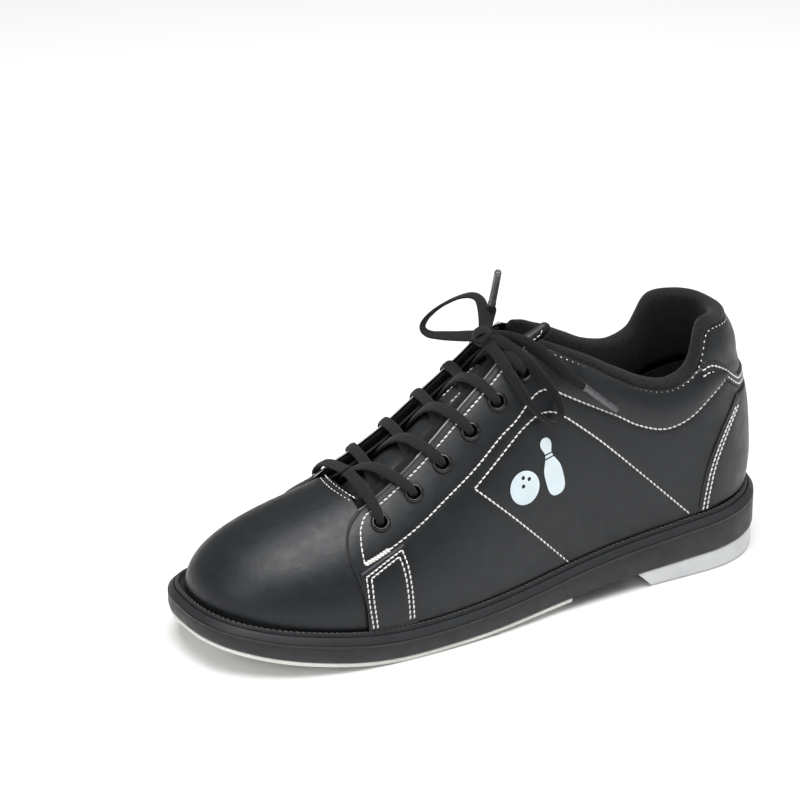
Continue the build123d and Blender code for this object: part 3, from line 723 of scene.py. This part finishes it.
def round_heel(low, high, front):
    def place(u, v, d):
        position = front(v) * (1 - 2 * u)
        turn = abs(position)
        x = wall_x(turn)
        side = 1 if position >= 0 else -1
        return on_wall(turn, low(x) + (high(x) + tilt(x, side) - low(x)) * v, side, d)
    return place


def heel_patch(u, v, d):
    z = mix((HEEL_PATCH_LOW, HEEL_PATCH_HIGH), v)
    position = turn_at(through(HEEL_PATCH_EDGE, z), z) * (1 - 2 * u)
    return on_wall(abs(position), z, 1 if position >= 0 else -1, d)


def vent_places():
    return [(VENT_FIRST[0] + VENT_ACROSS[0] * column + VENT_DOWN[0] * row,
             VENT_FIRST[1] + VENT_ACROSS[1] * column + VENT_DOWN[1] * row)
            for row in range(VENT_ROWS) for column in range(VENT_COLUMNS)]


def tilt(x, side):
    """How much higher the tab's corner stands on this side."""
    return side * TAB_TILT * min(max((-92 - x) / 12, 0), 1) * min(max((x + 140) / 25, 0), 1)


def undulation(place, amount=0.35, size=38.0):
    return amount * noise.noise(place / size)


def make_upper(book):
    lateral, medial = quarter_seams(1), quarter_seams(-1)
    groove = make_groove_finder(lateral + medial)
    overlay_lines = overlay_seams(1) + overlay_seams(-1)
    overlay_groove = make_groove_finder(overlay_lines)

    def quarter_relief(place):
        x, z = place.x, place.z
        puff = 0.0
        if -130 < x < -22:
            seam = through(sorted(FACING_LINE), x)
            share = (z - seam) / max(through(QUARTER_TOP, x) - seam, 4)
            puff = 1.7 * sin(pi * min(max(share, 0), 1)) * min((-22 - x) / 20, 1)
        return puff + undulation(place) - 0.4 * exp(-(groove(place) / 1.5) ** 2)

    def overlay_relief(place):
        foot = max(place.z - base(place.x), 0)
        tuck = 0.95 * exp(-(foot / 3.0) ** 2)
        return undulation(place, 0.2) - 0.35 * exp(-(overlay_groove(place) / 1.2) ** 2) - tuck

    def tab_relief(place):
        share = (place.z - 101) / 20
        return 1.2 * sin(pi * min(max(share, 0), 1)) + undulation(place, 0.2)

    # the edge skin paints a highlight round every panel; the quarters' last skin paints a paler highlight on
    # their free top edge
    skins = [book["upper"], book["edge"]]
    quarter_skins = skins + [book["raw_edge_and_highlight"]]
    overlay_skins = [book["overlay"], book["edge"]]
    vamp = panel("vamp_leather", toe_cap(VAMP_BACK), (104, 142), VAMP_OUT, VAMP_IN, skins,
                 lambda place: undulation(place, 0.3, 45.0))
    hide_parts("vamp")
    for name, side in (("lateral", 1), ("medial", -1)):
        piece = panel(f"quarter_leather_{name}", quarter(side), (250, 92), QUARTER_OUT, QUARTER_IN,
                      quarter_skins, quarter_relief, lip=0.9)
        eyelet_holes = [(*eyelet_frame(i, side)[:2], EYELET_PUNCH, EYELET_REACH)
                        for i in range(len(EYELET_X))]
        vents = [(on_wall(turn_at(x, z), z, side, 0), Vector((0, 1, 0)), VENT_HOLE, VENT_REACH)
                 for x, z in vent_places()]
        punch(piece, eyelet_holes + (vents if side < 0 else []), 1)
        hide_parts(f"quarter_{name}")
        strip = panel(f"facing_lining_{name}", facing_lining(side), (90, 14), STRIP_OUT, STRIP_IN,
                      [book["fuzz"], book["fuzz"]], lip=0.4)
        punch(strip, eyelet_holes, 0)
        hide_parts(f"facing_stiffener_{name}")
        patch = panel(f"side_patch_leather_{name}", side_patch(side), (25, 37), OVERLAY_OUT, OVERLAY_IN,
                      overlay_skins, overlay_relief, step=1.0)
        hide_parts(f"side_patch_{name}")
    tab_place = round_heel(lambda x: through(QUARTER_TOP, x) + 0.3, lambda x: TAB_TOP,
                           lambda v: turn_at(through(TAB_FRONT, v), 105))
    tab = panel("heel_tab_leather", tab_place, (112, 24), QUARTER_OUT, QUARTER_IN, skins,
                tab_relief)
    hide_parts("heel_tab")
    band_place = round_heel(lambda x: through(QUARTER_TOP, x) - 5.5, lambda x: through(QUARTER_TOP, x) + 1,
                            lambda v: turn_at(-106.5, 100))
    band = panel("heel_band_leather", band_place, (118, 6.5), OVERLAY_OUT, OVERLAY_IN, overlay_skins,
                 overlay_relief, step=1.0)
    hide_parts("heel_band")
    back = panel("heel_patch_leather", heel_patch, (115, 58), OVERLAY_OUT, OVERLAY_IN, overlay_skins,
                 overlay_relief, lip=0.8)
    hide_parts("heel_patch")
    stitches("white_seams_lateral", lateral, 2.7, 2.3, 0.44, book["thread"])
    stitches("white_seams_medial", medial, 2.7, 2.3, 0.44, book["thread"])
    stitches("white_overlay_seams", overlay_lines, 2.5, 2.2, 0.44, book["thread"])
    tacks = [side_seam(smooth([(x, z + shift) for x, z in BACKTACK]), side, QUARTER_OUT + 0.3)
             for side in (1, -1) for shift in (0.5, -0.5, 0.1)]
    stitches("white_backtack", tacks, 1.7, 2.3, 0.4, book["thread"], slant=0.5)
    throat = [crown_seam([(x - 0.012 * across * across, across) for across in range(-15, 16)], VAMP_OUT)
              for x in (71.8, 74.2)]
    stitches("white_throat_seam", throat, 2.5, 2.1, 0.3, book["thread"])


# ---------------------------------------------------------------- padded collar
COLLAR_PATH = [(-25, 126.7), (-34, 122.4), (-46, 115.9), (-58, 108.5), (-71, 101.3), (-84.5, 97), (-94, 97.7),
               (-101, 101), (-105, 106), (-107, 112), (-108.6, 117), (-112, 119.6), (-120, 119.8)]
COLLAR_BACK = 118.6
COLLAR_PROFILE = [(-0.7, -5.0), (-0.5, -1.0), (0.1, 0.3), (0.8, 1.0), (1.1, 2.0), (0.9, 3.2), (0.1, 4.2),
                  (-1.3, 4.8), (-3.0, 4.9), (-4.8, 4.2), (-6.4, 2.9), (-7.4, 1.2)]
COLLAR_INSIDE = [(-8.2, 0.12), (-8.8, 0.3), (-8.6, 0.5), (-7.4, 0.7), (-5.8, 0.88), (-4.6, 1.0)]
COLLAR_THICK = [(-60, 1.0), (-38, 0.62), (-25, 0.3)]


def collar_line():
    """The collar's edge from the front to the middle of the back, as (distance round the wall, z)."""
    return [(turn_at(x, z) * SIDE_UNIT, z) for x, z in COLLAR_PATH] + [(0.0, COLLAR_BACK)]


def tilted(w, z, side):
    return w, z + tilt(wall_x(abs(w) / SIDE_UNIT), side) * (z - 95) / 25


def make_collar(book):
    """The padded textile roll round the ankle, with its inner face down to the lining."""
    half = evenly(smooth(collar_line(), 0.5), 1.3)
    path = half + [(-w, z) for w, z in reversed(half[:-1])]
    path = [tilted(w, z, 1 if w >= 0 else -1) for w, z in path]
    rings = []
    for k, (w, z) in enumerate(path):
        before, after = path[max(k - 1, 0)], path[min(k + 1, len(path) - 1)]
        run, climb_by = after[0] - before[0], after[1] - before[1]
        size = max(hypot(run, climb_by), 1e-6)
        out = (climb_by / size, -run / size)
        x = wall_x(abs(w) / SIDE_UNIT)
        thick = through(COLLAR_THICK, x)
        side = 1 if w >= 0 else -1
        ring = []
        for d, height in COLLAR_PROFILE:
            reach = height * (0.5 + 0.5 * thick)
            place_w = w + out[0] * reach
            ring.append(on_wall(abs(place_w) / SIDE_UNIT, z + out[1] * reach, 1 if place_w >= 0 else -1,
                                -0.7 + (d + 0.7) * thick))
        low = through(COLLAR_LOW, x)
        for d, share in COLLAR_INSIDE:
            ring.append(on_wall(abs(w) / SIDE_UNIT, z + (low - z) * share, side,
                                -1.2 + (d + 1.2) * thick - 0.9 * (1 - thick)))
        rings.append(ring)
    points = []
    for ring in rings:
        for number, place in enumerate(ring):
            points.append(place + noise.noise_vector(place / 9.0) * (0.25 if number > 2 else 0))
    faces = tube_faces(len(rings), len(rings[0]))
    collar = add_piece("padded_collar", points, faces, [book["fuzz"]], "shoe")
    tidy_normals(collar)
    soften(collar)
    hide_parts("collar_foam", "collar_lining")
    dots = []
    for side in (1, -1):
        line = [tilted(w, z, side) for w, z in smooth(collar_line())]
        seam = []
        for (w, z), (next_w, next_z) in zip(line, line[1:]):
            size = max(hypot(next_w - w, next_z - z), 1e-6)
            inward = (-(next_z - z) / size, (next_w - w) / size)
            place_w, place_z = max(w + inward[0] * 0.8, 0), z + inward[1] * 0.8
            seam.append(wall_spot(place_w / SIDE_UNIT, place_z, side, QUARTER_OUT + 0.25))
        dots.append(seam)
    stitches("collar_seam", dots, 3.0, 1.0, 0.33, book["thread"])


# ---------------------------------------------------------------- tongue
TONGUE_TOP_HEIGHT = [(-33, -11.6), (-23, -10.6), (-14, -8.6), (0, -6.8), (40, -6.2), (60, -6.2), (69, -6.8)]
TONGUE_HALF = [(-33, 11.5), (-23, 11), (-12, 11), (0, 16), (40, 22), (69, 18)]
TONGUE_THICK = [(-33, 7.5), (-20, 7.5), (-8, 7), (40, 6), (69, 5)]
TONGUE_FRONT, TONGUE_END = 69.0, -31.5


def tongue_place(x, angle, shrink=1.0):
    """A place on the tongue's section: angle 0 at the lateral edge, 90 degrees on top."""
    across = through(TONGUE_HALF, x) * abs(cos(angle)) ** 0.8 * (1 if cos(angle) >= 0 else -1)
    across *= 0.85 + 0.15 * shrink
    thick = through(TONGUE_THICK, x) * shrink
    edge_drop = 3.6 * min(max((x + 16) / 10, 0.3), 1) * (abs(across) / through(TONGUE_HALF, x)) ** 2.5
    middle = through(TONGUE_TOP_HEIGHT, x) - through(TONGUE_THICK, x) / 2 - edge_drop
    lift = abs(sin(angle)) ** 0.75 * (1 if sin(angle) >= 0 else -1)
    return lifted(x, across, middle + lift * thick / 2)


def make_tongue(book):
    stations = [(TONGUE_FRONT + (TONGUE_END - TONGUE_FRONT) * k / 76, 1.0) for k in range(77)]
    for k in range(1, 8):
        part = k / 7
        stations.append((TONGUE_END - 2.4 * sin(part * pi / 2), cos(part * pi / 2) * 0.999 + 0.001))
    around = 44
    points = []
    for x, shrink in stations:
        for k in range(around):
            place = tongue_place(x, 2 * pi * k / around, shrink)
            points.append(place + noise.noise_vector(place / 14.0) * 0.35)
    shares = [1 if k >= around // 2 or i > len(stations) - 6 else 0
              for i in range(len(stations) - 1) for k in range(around)]
    tongue = add_piece("padded_tongue", points, tube_faces(len(stations), around),
                       [book["tongue"], book["fuzz"]], "tongue", shares + [0, 1])
    tidy_normals(tongue)
    soften(tongue)
    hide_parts("tongue_outer", "tongue_foam", "tongue_lining")
    lateral_side = [(x, radians(34)) for x in range(-12, -30, -1)]
    end = [(-30.0, radians(angle)) for angle in range(40, 141, 5)]
    medial_side = [(x, radians(146)) for x in range(-29, -11)]
    rim = [(tongue_place(x, angle), crown_normal(x, 0)) for x, angle in lateral_side + end + medial_side]
    stitches("tongue_seam", [rim], 2.6, 2.0, 0.3, book["thread"], "tongue", sink=-0.1)
    back, front, medial, lateral = 0.0, 20.0, -5.5, 6.5

    def keeper(u, v, d):
        x = front + (back - front) * u
        across = medial + (lateral - medial) * v
        rise_by = 0.5 * sin(pi * v)
        return lifted(x, across, through(TONGUE_TOP_HEIGHT, x) + d + rise_by)
    strap = panel("tongue_keeper_strap", keeper, (24, 13), 1.0, 0.1, [book["tongue"], book["edge"]],
                  step=0.9, lip=0.5, body="tongue")
    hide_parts("lace_keeper")
    ends = [[(lifted(x, across, through(TONGUE_TOP_HEIGHT, x) + 1.25), crown_normal(x, across))
             for x in range(int(back) + 2, int(front) - 1)] for across in (medial + 1.6, lateral - 1.6)]
    stitches("keeper_seam", ends, 2.6, 2.0, 0.3, book["thread"], "tongue", sink=0)


# ---------------------------------------------------------------- eyelets
def eyelet_frame(i, side):
    across = eyelet_across(i, side)
    up = crown_normal(EYELET_X[i], across)
    aside = up.cross(Vector((1, 0, 0))).normalized()
    return lifted(EYELET_X[i], across, 0), up, aside, aside.cross(up)


def make_eyelets(book):
    profile = [(2.85, -5.0), (4.0, -5.0), (4.0, -4.7), (3.2, -4.6), (3.2, 0.6), (4.5, 0.7), (4.7, 1.0),
               (4.5, 1.5), (4.0, 1.95), (3.5, 2.1), (3.2, 2.0), (2.95, 1.65), (2.85, 1.2)]
    around = 40
    for name, side in (("lateral", 1), ("medial", -1)):
        points, faces = [], []
        for i in range(len(EYELET_X)):
            origin, up, aside, ahead = eyelet_frame(i, side)
            faces += turned_faces(around, len(profile), len(points))
            for k in range(around):
                angle = 2 * pi * k / around
                spoke = aside * cos(angle) + ahead * sin(angle)
                points += [origin + spoke * radius + up * height for radius, height in profile]
        rings = add_piece(f"enamelled_eyelets_{name}", points, faces, [book["metal"]], "shoe")
        tidy_normals(rings)
        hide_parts(f"eyelets_{name}")


# ---------------------------------------------------------------- laces
LACE_WIDE, LACE_THICK = 5.2, 2.1
IN_EYELET, IN_AGLET = (3.7, 2.9), (2.9, 2.7)     # the lace's width and thickness where it is squeezed
LOOP_WIDE, LOOP_THICK, KNOT_THICK = 5.4, 1.6, 1.8
LACE_OVER, LACE_ABOVE, LACE_BELOW, LACE_UNDER = 3.0, 3.9, -7.6, -5.2
TOP_CROSSING, LOW_CROSSING, LAST_DROP = -0.4, -3.2, 0.8


def nurbs(points):
    """Places along the quadratic NURBS spline that has these points as its control points."""
    curve = bpy.data.curves.new("route", "CURVE")
    curve.dimensions = "3D"
    curve.resolution_u = 24
    spline = curve.splines.new("NURBS")
    spline.points.add(len(points) - 1)
    for knot, place in zip(spline.points, points):
        knot.co = (*place, 1)
    spline.order_u = 3
    spline.use_endpoint_u = True
    line = add_object("route", curve)
    mesh = baked(line)
    places = [tuple(vertex.co) for vertex in mesh.vertices]
    bpy.data.objects.remove(line)
    bpy.data.curves.remove(curve)
    bpy.data.meshes.remove(mesh)
    return places


def narrowing(squeezed, share):
    """The lace's width and thickness, from squeezed at share 0 to full at share 1."""
    share = min(max(share, 0), 1)
    return mix((squeezed[0], LACE_WIDE), share), mix((squeezed[1], LACE_THICK), share)


def braid(name, places, look, wide, flat=None, first=None, roll=0.0):
    """A flat-oval braided lace along places. flat(place) gives the way its flat face looks."""
    step, around = 0.4, 20
    line = [Vector(place) for place in evenly(places, step)]
    points = []
    aside = None
    for k, here in enumerate(line):
        along = (line[min(k + 1, len(line) - 1)] - line[max(k - 1, 0)]).normalized()
        wish = along.cross(flat(here)) if flat else None
        if aside is None:
            aside = first if first else wish
        aside = (aside - along * aside.dot(along)).normalized()
        if wish is not None and wish.length > 0.2:
            if wish.dot(aside) < 0:
                wish = -wish
            aside = (aside + wish * 0.25 * wish.length * step).normalized()
        if roll:
            aside = Matrix.Rotation(roll * step, 3, along) @ aside
        up = aside.cross(along)
        width, thick = wide(here)
        for j in range(around):
            angle = 2 * pi * j / around
            rib = 0.09 * sin(2 * pi * (k * step / 1.05 + 0.55 * abs(cos(angle)))) + 0.05 * cos(7 * angle)
            rib += 0.12 * noise.noise(here / 5.0)
            squash = abs(sin(angle)) ** 0.8 * (1 if sin(angle) >= 0 else -1)
            points.append(here + aside * cos(angle) * (width / 2 + rib) + up * squash * (thick / 2 + rib))
    piece = add_piece(name, points, tube_faces(len(line), around), [look], "shoe")
    tidy_normals(piece)
    return piece, line


def crossing(i, start):
    x0, x1 = EYELET_X[i], EYELET_X[i + 1]
    last = i == len(EYELET_X) - 2
    middle = (TOP_CROSSING if start < 0 else LOW_CROSSING) - (LAST_DROP if last else 0)
    low_x, high_x = x0 + (x1 - x0) * 0.22, x0 + (x1 - x0) * 0.78
    return [lifted(low_x, start * (throat_half(low_x) + 1.0), LACE_UNDER),
            lifted((x0 + x1) / 2, -0.6 * start, middle),
            lifted(high_x, -start * (throat_half(high_x) + 1.0), LACE_OVER + 0.8 * FLAP_LIFT[-start]),
            lifted(x1, eyelet_across(i + 1, -start), LACE_ABOVE),
            lifted(x1, eyelet_across(i + 1, -start), LACE_BELOW)]


def half_lace(start):
    x = EYELET_X[0]
    points = [lifted(x, start, 2.4), lifted(x, start * 12, 2.8),
              lifted(x, start * (throat_half(x) + 1), LACE_OVER + 0.8 * FLAP_LIFT[start]),
              lifted(x, eyelet_across(0, start), LACE_ABOVE), lifted(x, eyelet_across(0, start), LACE_BELOW)]
    side = start
    for i in range(len(EYELET_X) - 1):
        points += crossing(i, side)
        side = -side
    points.append(lifted(EYELET_X[-1] - 1, side * (throat_half(EYELET_X[-1]) + 0.5), LACE_UNDER))
    points.append(lifted(-9, side * 5.5, 1.5))
    points.append(KNOT + Vector((-1, side * 1.5, -1.5)))
    return points


def make_lacing(book):
    holes = [eyelet_frame(i, side)[0] for i in range(len(EYELET_X)) for side in (1, -1)]

    def width(place):
        near = min((place - hole).length for hole in holes)
        return narrowing(IN_EYELET, (near - 2.2) / 3.5)

    def surface(place):
        return crown_normal(place.x, max(min(place.y - spine(place.x), 38), -34))

    for name, side in (("first", 1), ("second", -1)):
        lace, line = braid(f"lacing_{name}_half", nurbs(half_lace(side)), book["lace"], width, flat=surface)
        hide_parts("shoelace")


LOOP_MEDIAL = [(2, -5, 129.5), (8, -14, 127.5), (14.5, -19.5, 127.5), (16, -22, 131.5), (9.5, -21.5, 138),
               (-1.5, -18.5, 143.5), (-8.5, -13, 145.5), (-9, -6.5, 141.5)]
LOOP_LATERAL = [(-3.5, 10.5, 128.5), (-5.5, 21, 121.5), (-8, 28.5, 113.5), (-12, 31.5, 105.5),
                (-17, 34, 98.5), (-23, 35.5, 95), (-27, 34.5, 99), (-26.5, 32.5, 105.5), (-22, 29.5, 114),
                (-16, 23, 123), (-11.5, 14, 129)]
END_SHORT = [(-7, 0, 136), (-11.5, -5, 139), (-9.5, 4, 160)]
END_LONG = [(-11, 7, 132.5), (-19.5, 17.5, 130.5), (-27, 25, 123.5), (-37, 30, 112), (-55, 34, 96)]
AGLET_LENGTH, AGLET_GRIP = 22.0, 5.1


def route(places):
    return [KNOT] + [Vector((x, MIDDLE_Y + across, z)) for x, across, z in places]


def tie(line, node):
    length = sum((b - a).length for a, b in zip(line, line[1:])) * MM
    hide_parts(node)
    [place * MM for place in line]


def make_bow(book):
    inside = KNOT + Vector((-1, 0, 1))
    for side, places, first, roll in (("medial", LOOP_MEDIAL, Vector((-0.23, -0.32, 0.8)), 0.031),
                                      ("lateral", LOOP_LATERAL, Vector((0.85, -0.24, -0.45)), 0.024)):
        loop, line = braid(f"bow_loop_{side}_side", nurbs(route(places) + [inside]), book["lace"],
                           lambda place: (LOOP_WIDE, LOOP_THICK), first=first, roll=roll)
        tie(line, f"bow_loop_{side}")
    for name, places, first in (("short", END_SHORT, Vector((-0.86, 0.5, 0))),
                                ("long", END_LONG, Vector((0, 0, 1)))):
        points = route(places)
        along = (points[-1] - points[-2]).normalized()
        start = points[-2] + along * AGLET_GRIP
        points[-1] = start + along * (AGLET_LENGTH - 1.5)
        points.insert(-1, start)

        def slim(place, start=start, along=along):
            return narrowing(IN_AGLET, -(place - start).dot(along) / 3)

        end, line = braid(f"lace_{name}_end", nurbs(points), book["lace"], slim, first=first)
        tip = make_aglet(name, start, along, book)
        tie(line, f"lace_end_{name}")


def make_aglet(name, start, along, book):
    aside = along.orthogonal().normalized()
    other = along.cross(aside)
    profile = [(1.55, 0.0), (1.95, 0.0), (2.05, 0.5), (1.95, 1.2), (1.8, 2.0), (1.78, 20.0), (1.7, 21.2),
               (1.35, 21.9), (0.0, 22.0), (0.0, 21.0), (1.45, 20.6), (1.5, 2.0)]
    around = 28
    points = []
    for k in range(around):
        angle = 2 * pi * k / around
        seam = 0.14 if k in (0, 1) else 0.0
        spoke = aside * cos(angle) + other * sin(angle)
        points += [start + spoke * max(radius + (seam if radius > 1.6 else 0), 0.02) + along * height
                   for radius, height in profile]
    faces = turned_faces(around, len(profile))
    tip = add_piece(f"aglet_tube_{name}", points, faces, [book["aglet"]], "shoe")
    tidy_normals(tip)
    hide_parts(f"aglet_{name}")
    return tip


def make_knot(book):
    """The bow's knot: a wrap round a core of crossed laces."""
    wraps = [("knot_wrap", (0.25, 0.95, -0.2), (0.9, -0.2, 0.3), 3.9, 3.4, (0, 0, 0)),
             ("knot_core_front", (0.9, 0.1, -0.5), (0.1, 1, 0.2), 4.2, 1.9, (1.2, -0.5, -1.6)),
             ("knot_core_back", (-0.6, 0.5, 0.7), (0.4, 0.9, -0.1), 3.8, 2.0, (-1.8, 0.8, 0.8))]
    count = 40
    for name, axis, first, across, deep, shift in wraps:
        axis, first = Vector(axis).normalized(), Vector(first)
        first = (first - axis * first.dot(axis)).normalized()
        second = axis.cross(first).normalized()
        angles = [2 * pi * k / count for k in range(count + 1)]
        places = [tuple(KNOT + Vector(shift) + first * (across * cos(angle)) + second * (deep * sin(angle)))
                  for angle in angles]
        wrap, line = braid(name, places, book["lace"], lambda place: (LACE_WIDE, KNOT_THICK), first=axis)
        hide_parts("lace_knot")


# ---------------------------------------------------------------- sole
WELT_SEAM_INSET = 4.25


def plan_stations(x0, x1):
    """Places along the sole from x0 to x1 as functions of side and inset, closer at the round ends."""
    count = 64
    stations = []
    for k in range(count + 1):
        if x0 <= HEEL_X:
            angle = pi / 2 * (1 - k / count)

            def heel(side, inset, angle=angle):
                x = HEEL_START - (HEEL_START - HEEL_X - inset) * sin(angle) ** (2 / HEEL_POWER)
                return x, sole_half(x, side, inset) * cos(angle) ** (2 / HEEL_POWER)
            stations.append(heel)
    first, last = max(x0, HEEL_START), min(x1, TOE_START)
    straight = max(2, round((last - first) / 2))
    for k in range(1 if x0 <= HEEL_X else 0, straight + 1):
        x = first + (last - first) * k / straight
        stations.append(lambda side, inset, x=x: (x, sole_half(x, side, inset)))
    for k in range(1, count + 1):
        if x1 >= TOE_X:
            angle = pi / 2 * k / count

            def toe(side, inset, angle=angle):
                x = TOE_START + (TOE_X - inset - TOE_START) * sin(angle) ** (2 / TOE_POWER)
                return x, sole_half(x, side, inset) * max(cos(angle), 0) ** (2 / TOE_POWER)
            stations.append(toe)
    return stations


def sole_part(name, profile, x0, x1, look, node, lean=None):
    """A layer of the sole. profile lists (inset, height function) from the top's middle to the bottom's."""
    stations = plan_stations(x0, x1)
    rows = len(profile)
    points, faces = [], []
    for side in (1, -1):
        for number, station in enumerate(stations):
            for inset, height in profile:
                x, half = station(side, inset)
                z = height(x)
                if lean:
                    x = min(x, lean(z)) if number == len(stations) - 1 else min(x, lean(z) - 0.01)
                points.append(Vector((x, spine(x) + side * half, z)))
    count = len(stations)

    def at(side, station, row):
        return (0 if side > 0 else count * rows) + station * rows + row
    for k in range(count - 1):
        for j in range(rows - 1):
            faces.append((at(1, k, j), at(1, k, j + 1), at(1, k + 1, j + 1), at(1, k + 1, j)))
            faces.append((at(-1, k, j), at(-1, k + 1, j), at(-1, k + 1, j + 1), at(-1, k, j + 1)))
        faces.append((at(1, k, 0), at(1, k + 1, 0), at(-1, k + 1, 0), at(-1, k, 0)))
        bottom = rows - 1
        faces.append((at(1, k, bottom), at(-1, k, bottom), at(-1, k + 1, bottom), at(1, k + 1, bottom)))
    for k, closed in ((0, x0 <= HEEL_X), (count - 1, x1 >= TOE_X)):
        if not closed:
            faces.append(tuple(at(1, k, j) for j in range(rows))
                         + tuple(at(-1, k, j) for j in reversed(range(rows))))
    piece = add_piece(name, points, faces, [look], "shoe")
    shell = bmesh.new()
    shell.from_mesh(piece.data)
    bmesh.ops.remove_doubles(shell, verts=shell.verts, dist=0.00002)
    bmesh.ops.dissolve_degenerate(shell, edges=shell.edges, dist=0.000005)
    bmesh.ops.recalc_face_normals(shell, faces=shell.faces)
    for edge in shell.edges:
        if len(edge.link_faces) == 2 and edge.calc_face_angle() > radians(38):
            edge.smooth = False
    shell.to_mesh(piece.data)
    shell.free()
    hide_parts(node)


def top(fall):
    return lambda x: welt_top(x) - fall


def under(lift):
    return lambda x: sole_under(x) + lift


def make_sole(book):
    bead = [(8.0, top(0.3)), (6.0, top(0.2)), (5.3, top(-0.3)), (5.1, top(-1.0)), (4.7, top(-1.5)),
            (4.2, top(-1.65)), (3.7, top(-1.5)), (3.35, top(-1.0)), (3.2, top(-0.1)), (3.05, top(0.4)),
            (2.8, top(0.4)), (2.6, top(0.0)), (2.4, top(-0.05)), (0.3, top(2.5)), (0.12, top(2.9)),
            (0.4, top(3.1)), (8.0, top(3.1))]
    sole_part("stitched_welt", bead, HEEL_X, TOE_X, book["welt"], "welt")
    side = [(8.0, top(3.2)), (0.25, top(3.2)), (0.0, top(3.5)), (0.0, top(4.4)), (0.12, top(4.7)),
            (0.0, top(5.0)), (0.05, under(1.4)), (0.3, under(0.5)), (0.9, under(0.0)), (12.0, under(0.0))]
    sole_part("midsole_body", side, HEEL_X, TOE_X, book["midsole"], "midsole")
    sheet = [(12.0, under(-0.1)), (1.0, under(-0.1)), (0.75, under(-0.3)), (0.7, under(-1.0)),
             (0.9, under(-1.9)), (1.4, under(-2.35)), (2.2, under(-SLIDE_SOLE)), (12.0, under(-SLIDE_SOLE))]
    sole_part("slide_sole_sheet", sheet, SLIDE_BACK, TOE_X, book["slide"], "slide_sole")

    def breast(z):
        return mix((BREAST_FLOOR, BREAST_TOP), min(max(z / 10, 0), 1))

    block = [(12.0, under(-0.1)), (1.0, under(-0.1)), (0.75, under(-0.4)), (0.7, under(-1.6))]
    foot = ((0.7, 2.0), (0.85, 1.2), (1.3, 0.4), (2.1, 0.05), (12.0, 0.05))
    block += [(inset, lambda x, z=z: z) for inset, z in foot]
    sole_part("heel_block_rubber", block, HEEL_X, BREAST_TOP, book["heel"], "heel_block",
              breast)
    seam = []
    stations = plan_stations(HEEL_X, TOE_X)
    for side, line in ((1, stations), (-1, reversed(stations))):
        for station in line:
            x, half = station(side, WELT_SEAM_INSET)
            seam.append((Vector((x, spine(x) + side * half, welt_top(x) + 1.7)), Vector((0, 0, 1))))
    # the welt seam's thread is black, painted grey as a painted highlight
    stitches("welt_seam", [seam], 2.7, 2.3, 0.3, book["dark_thread"], sink=0.05,
             slant=0.45)


# ---------------------------------------------------------------- what stays from the CAD model
def dress(book):
    keep = {"lining": ["vamp_lining", "quarter_lining_lateral", "quarter_lining_medial", "footbed"],
            "inner_board": ["toe_puff", "heel_counter", "insole_board", "bottom_filler"],
            "metal": ["shank"], "print": ["emblem_print"]}
    for look, nodes in keep.items():
        for node in nodes:
            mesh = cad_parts[node].data
            mesh.materials.clear()
            mesh.materials.append(book[look])


def main():
    noise.seed_set(NOISE_SEED)
    book = make_materials()
    make_camera()
    make_lacing(book)
    make_bow(book)
    make_knot(book)
    make_stage()
    dress(book)
    make_upper(book)
    make_collar(book)
    make_tongue(book)
    make_eyelets(book)
    make_sole(book)


main()
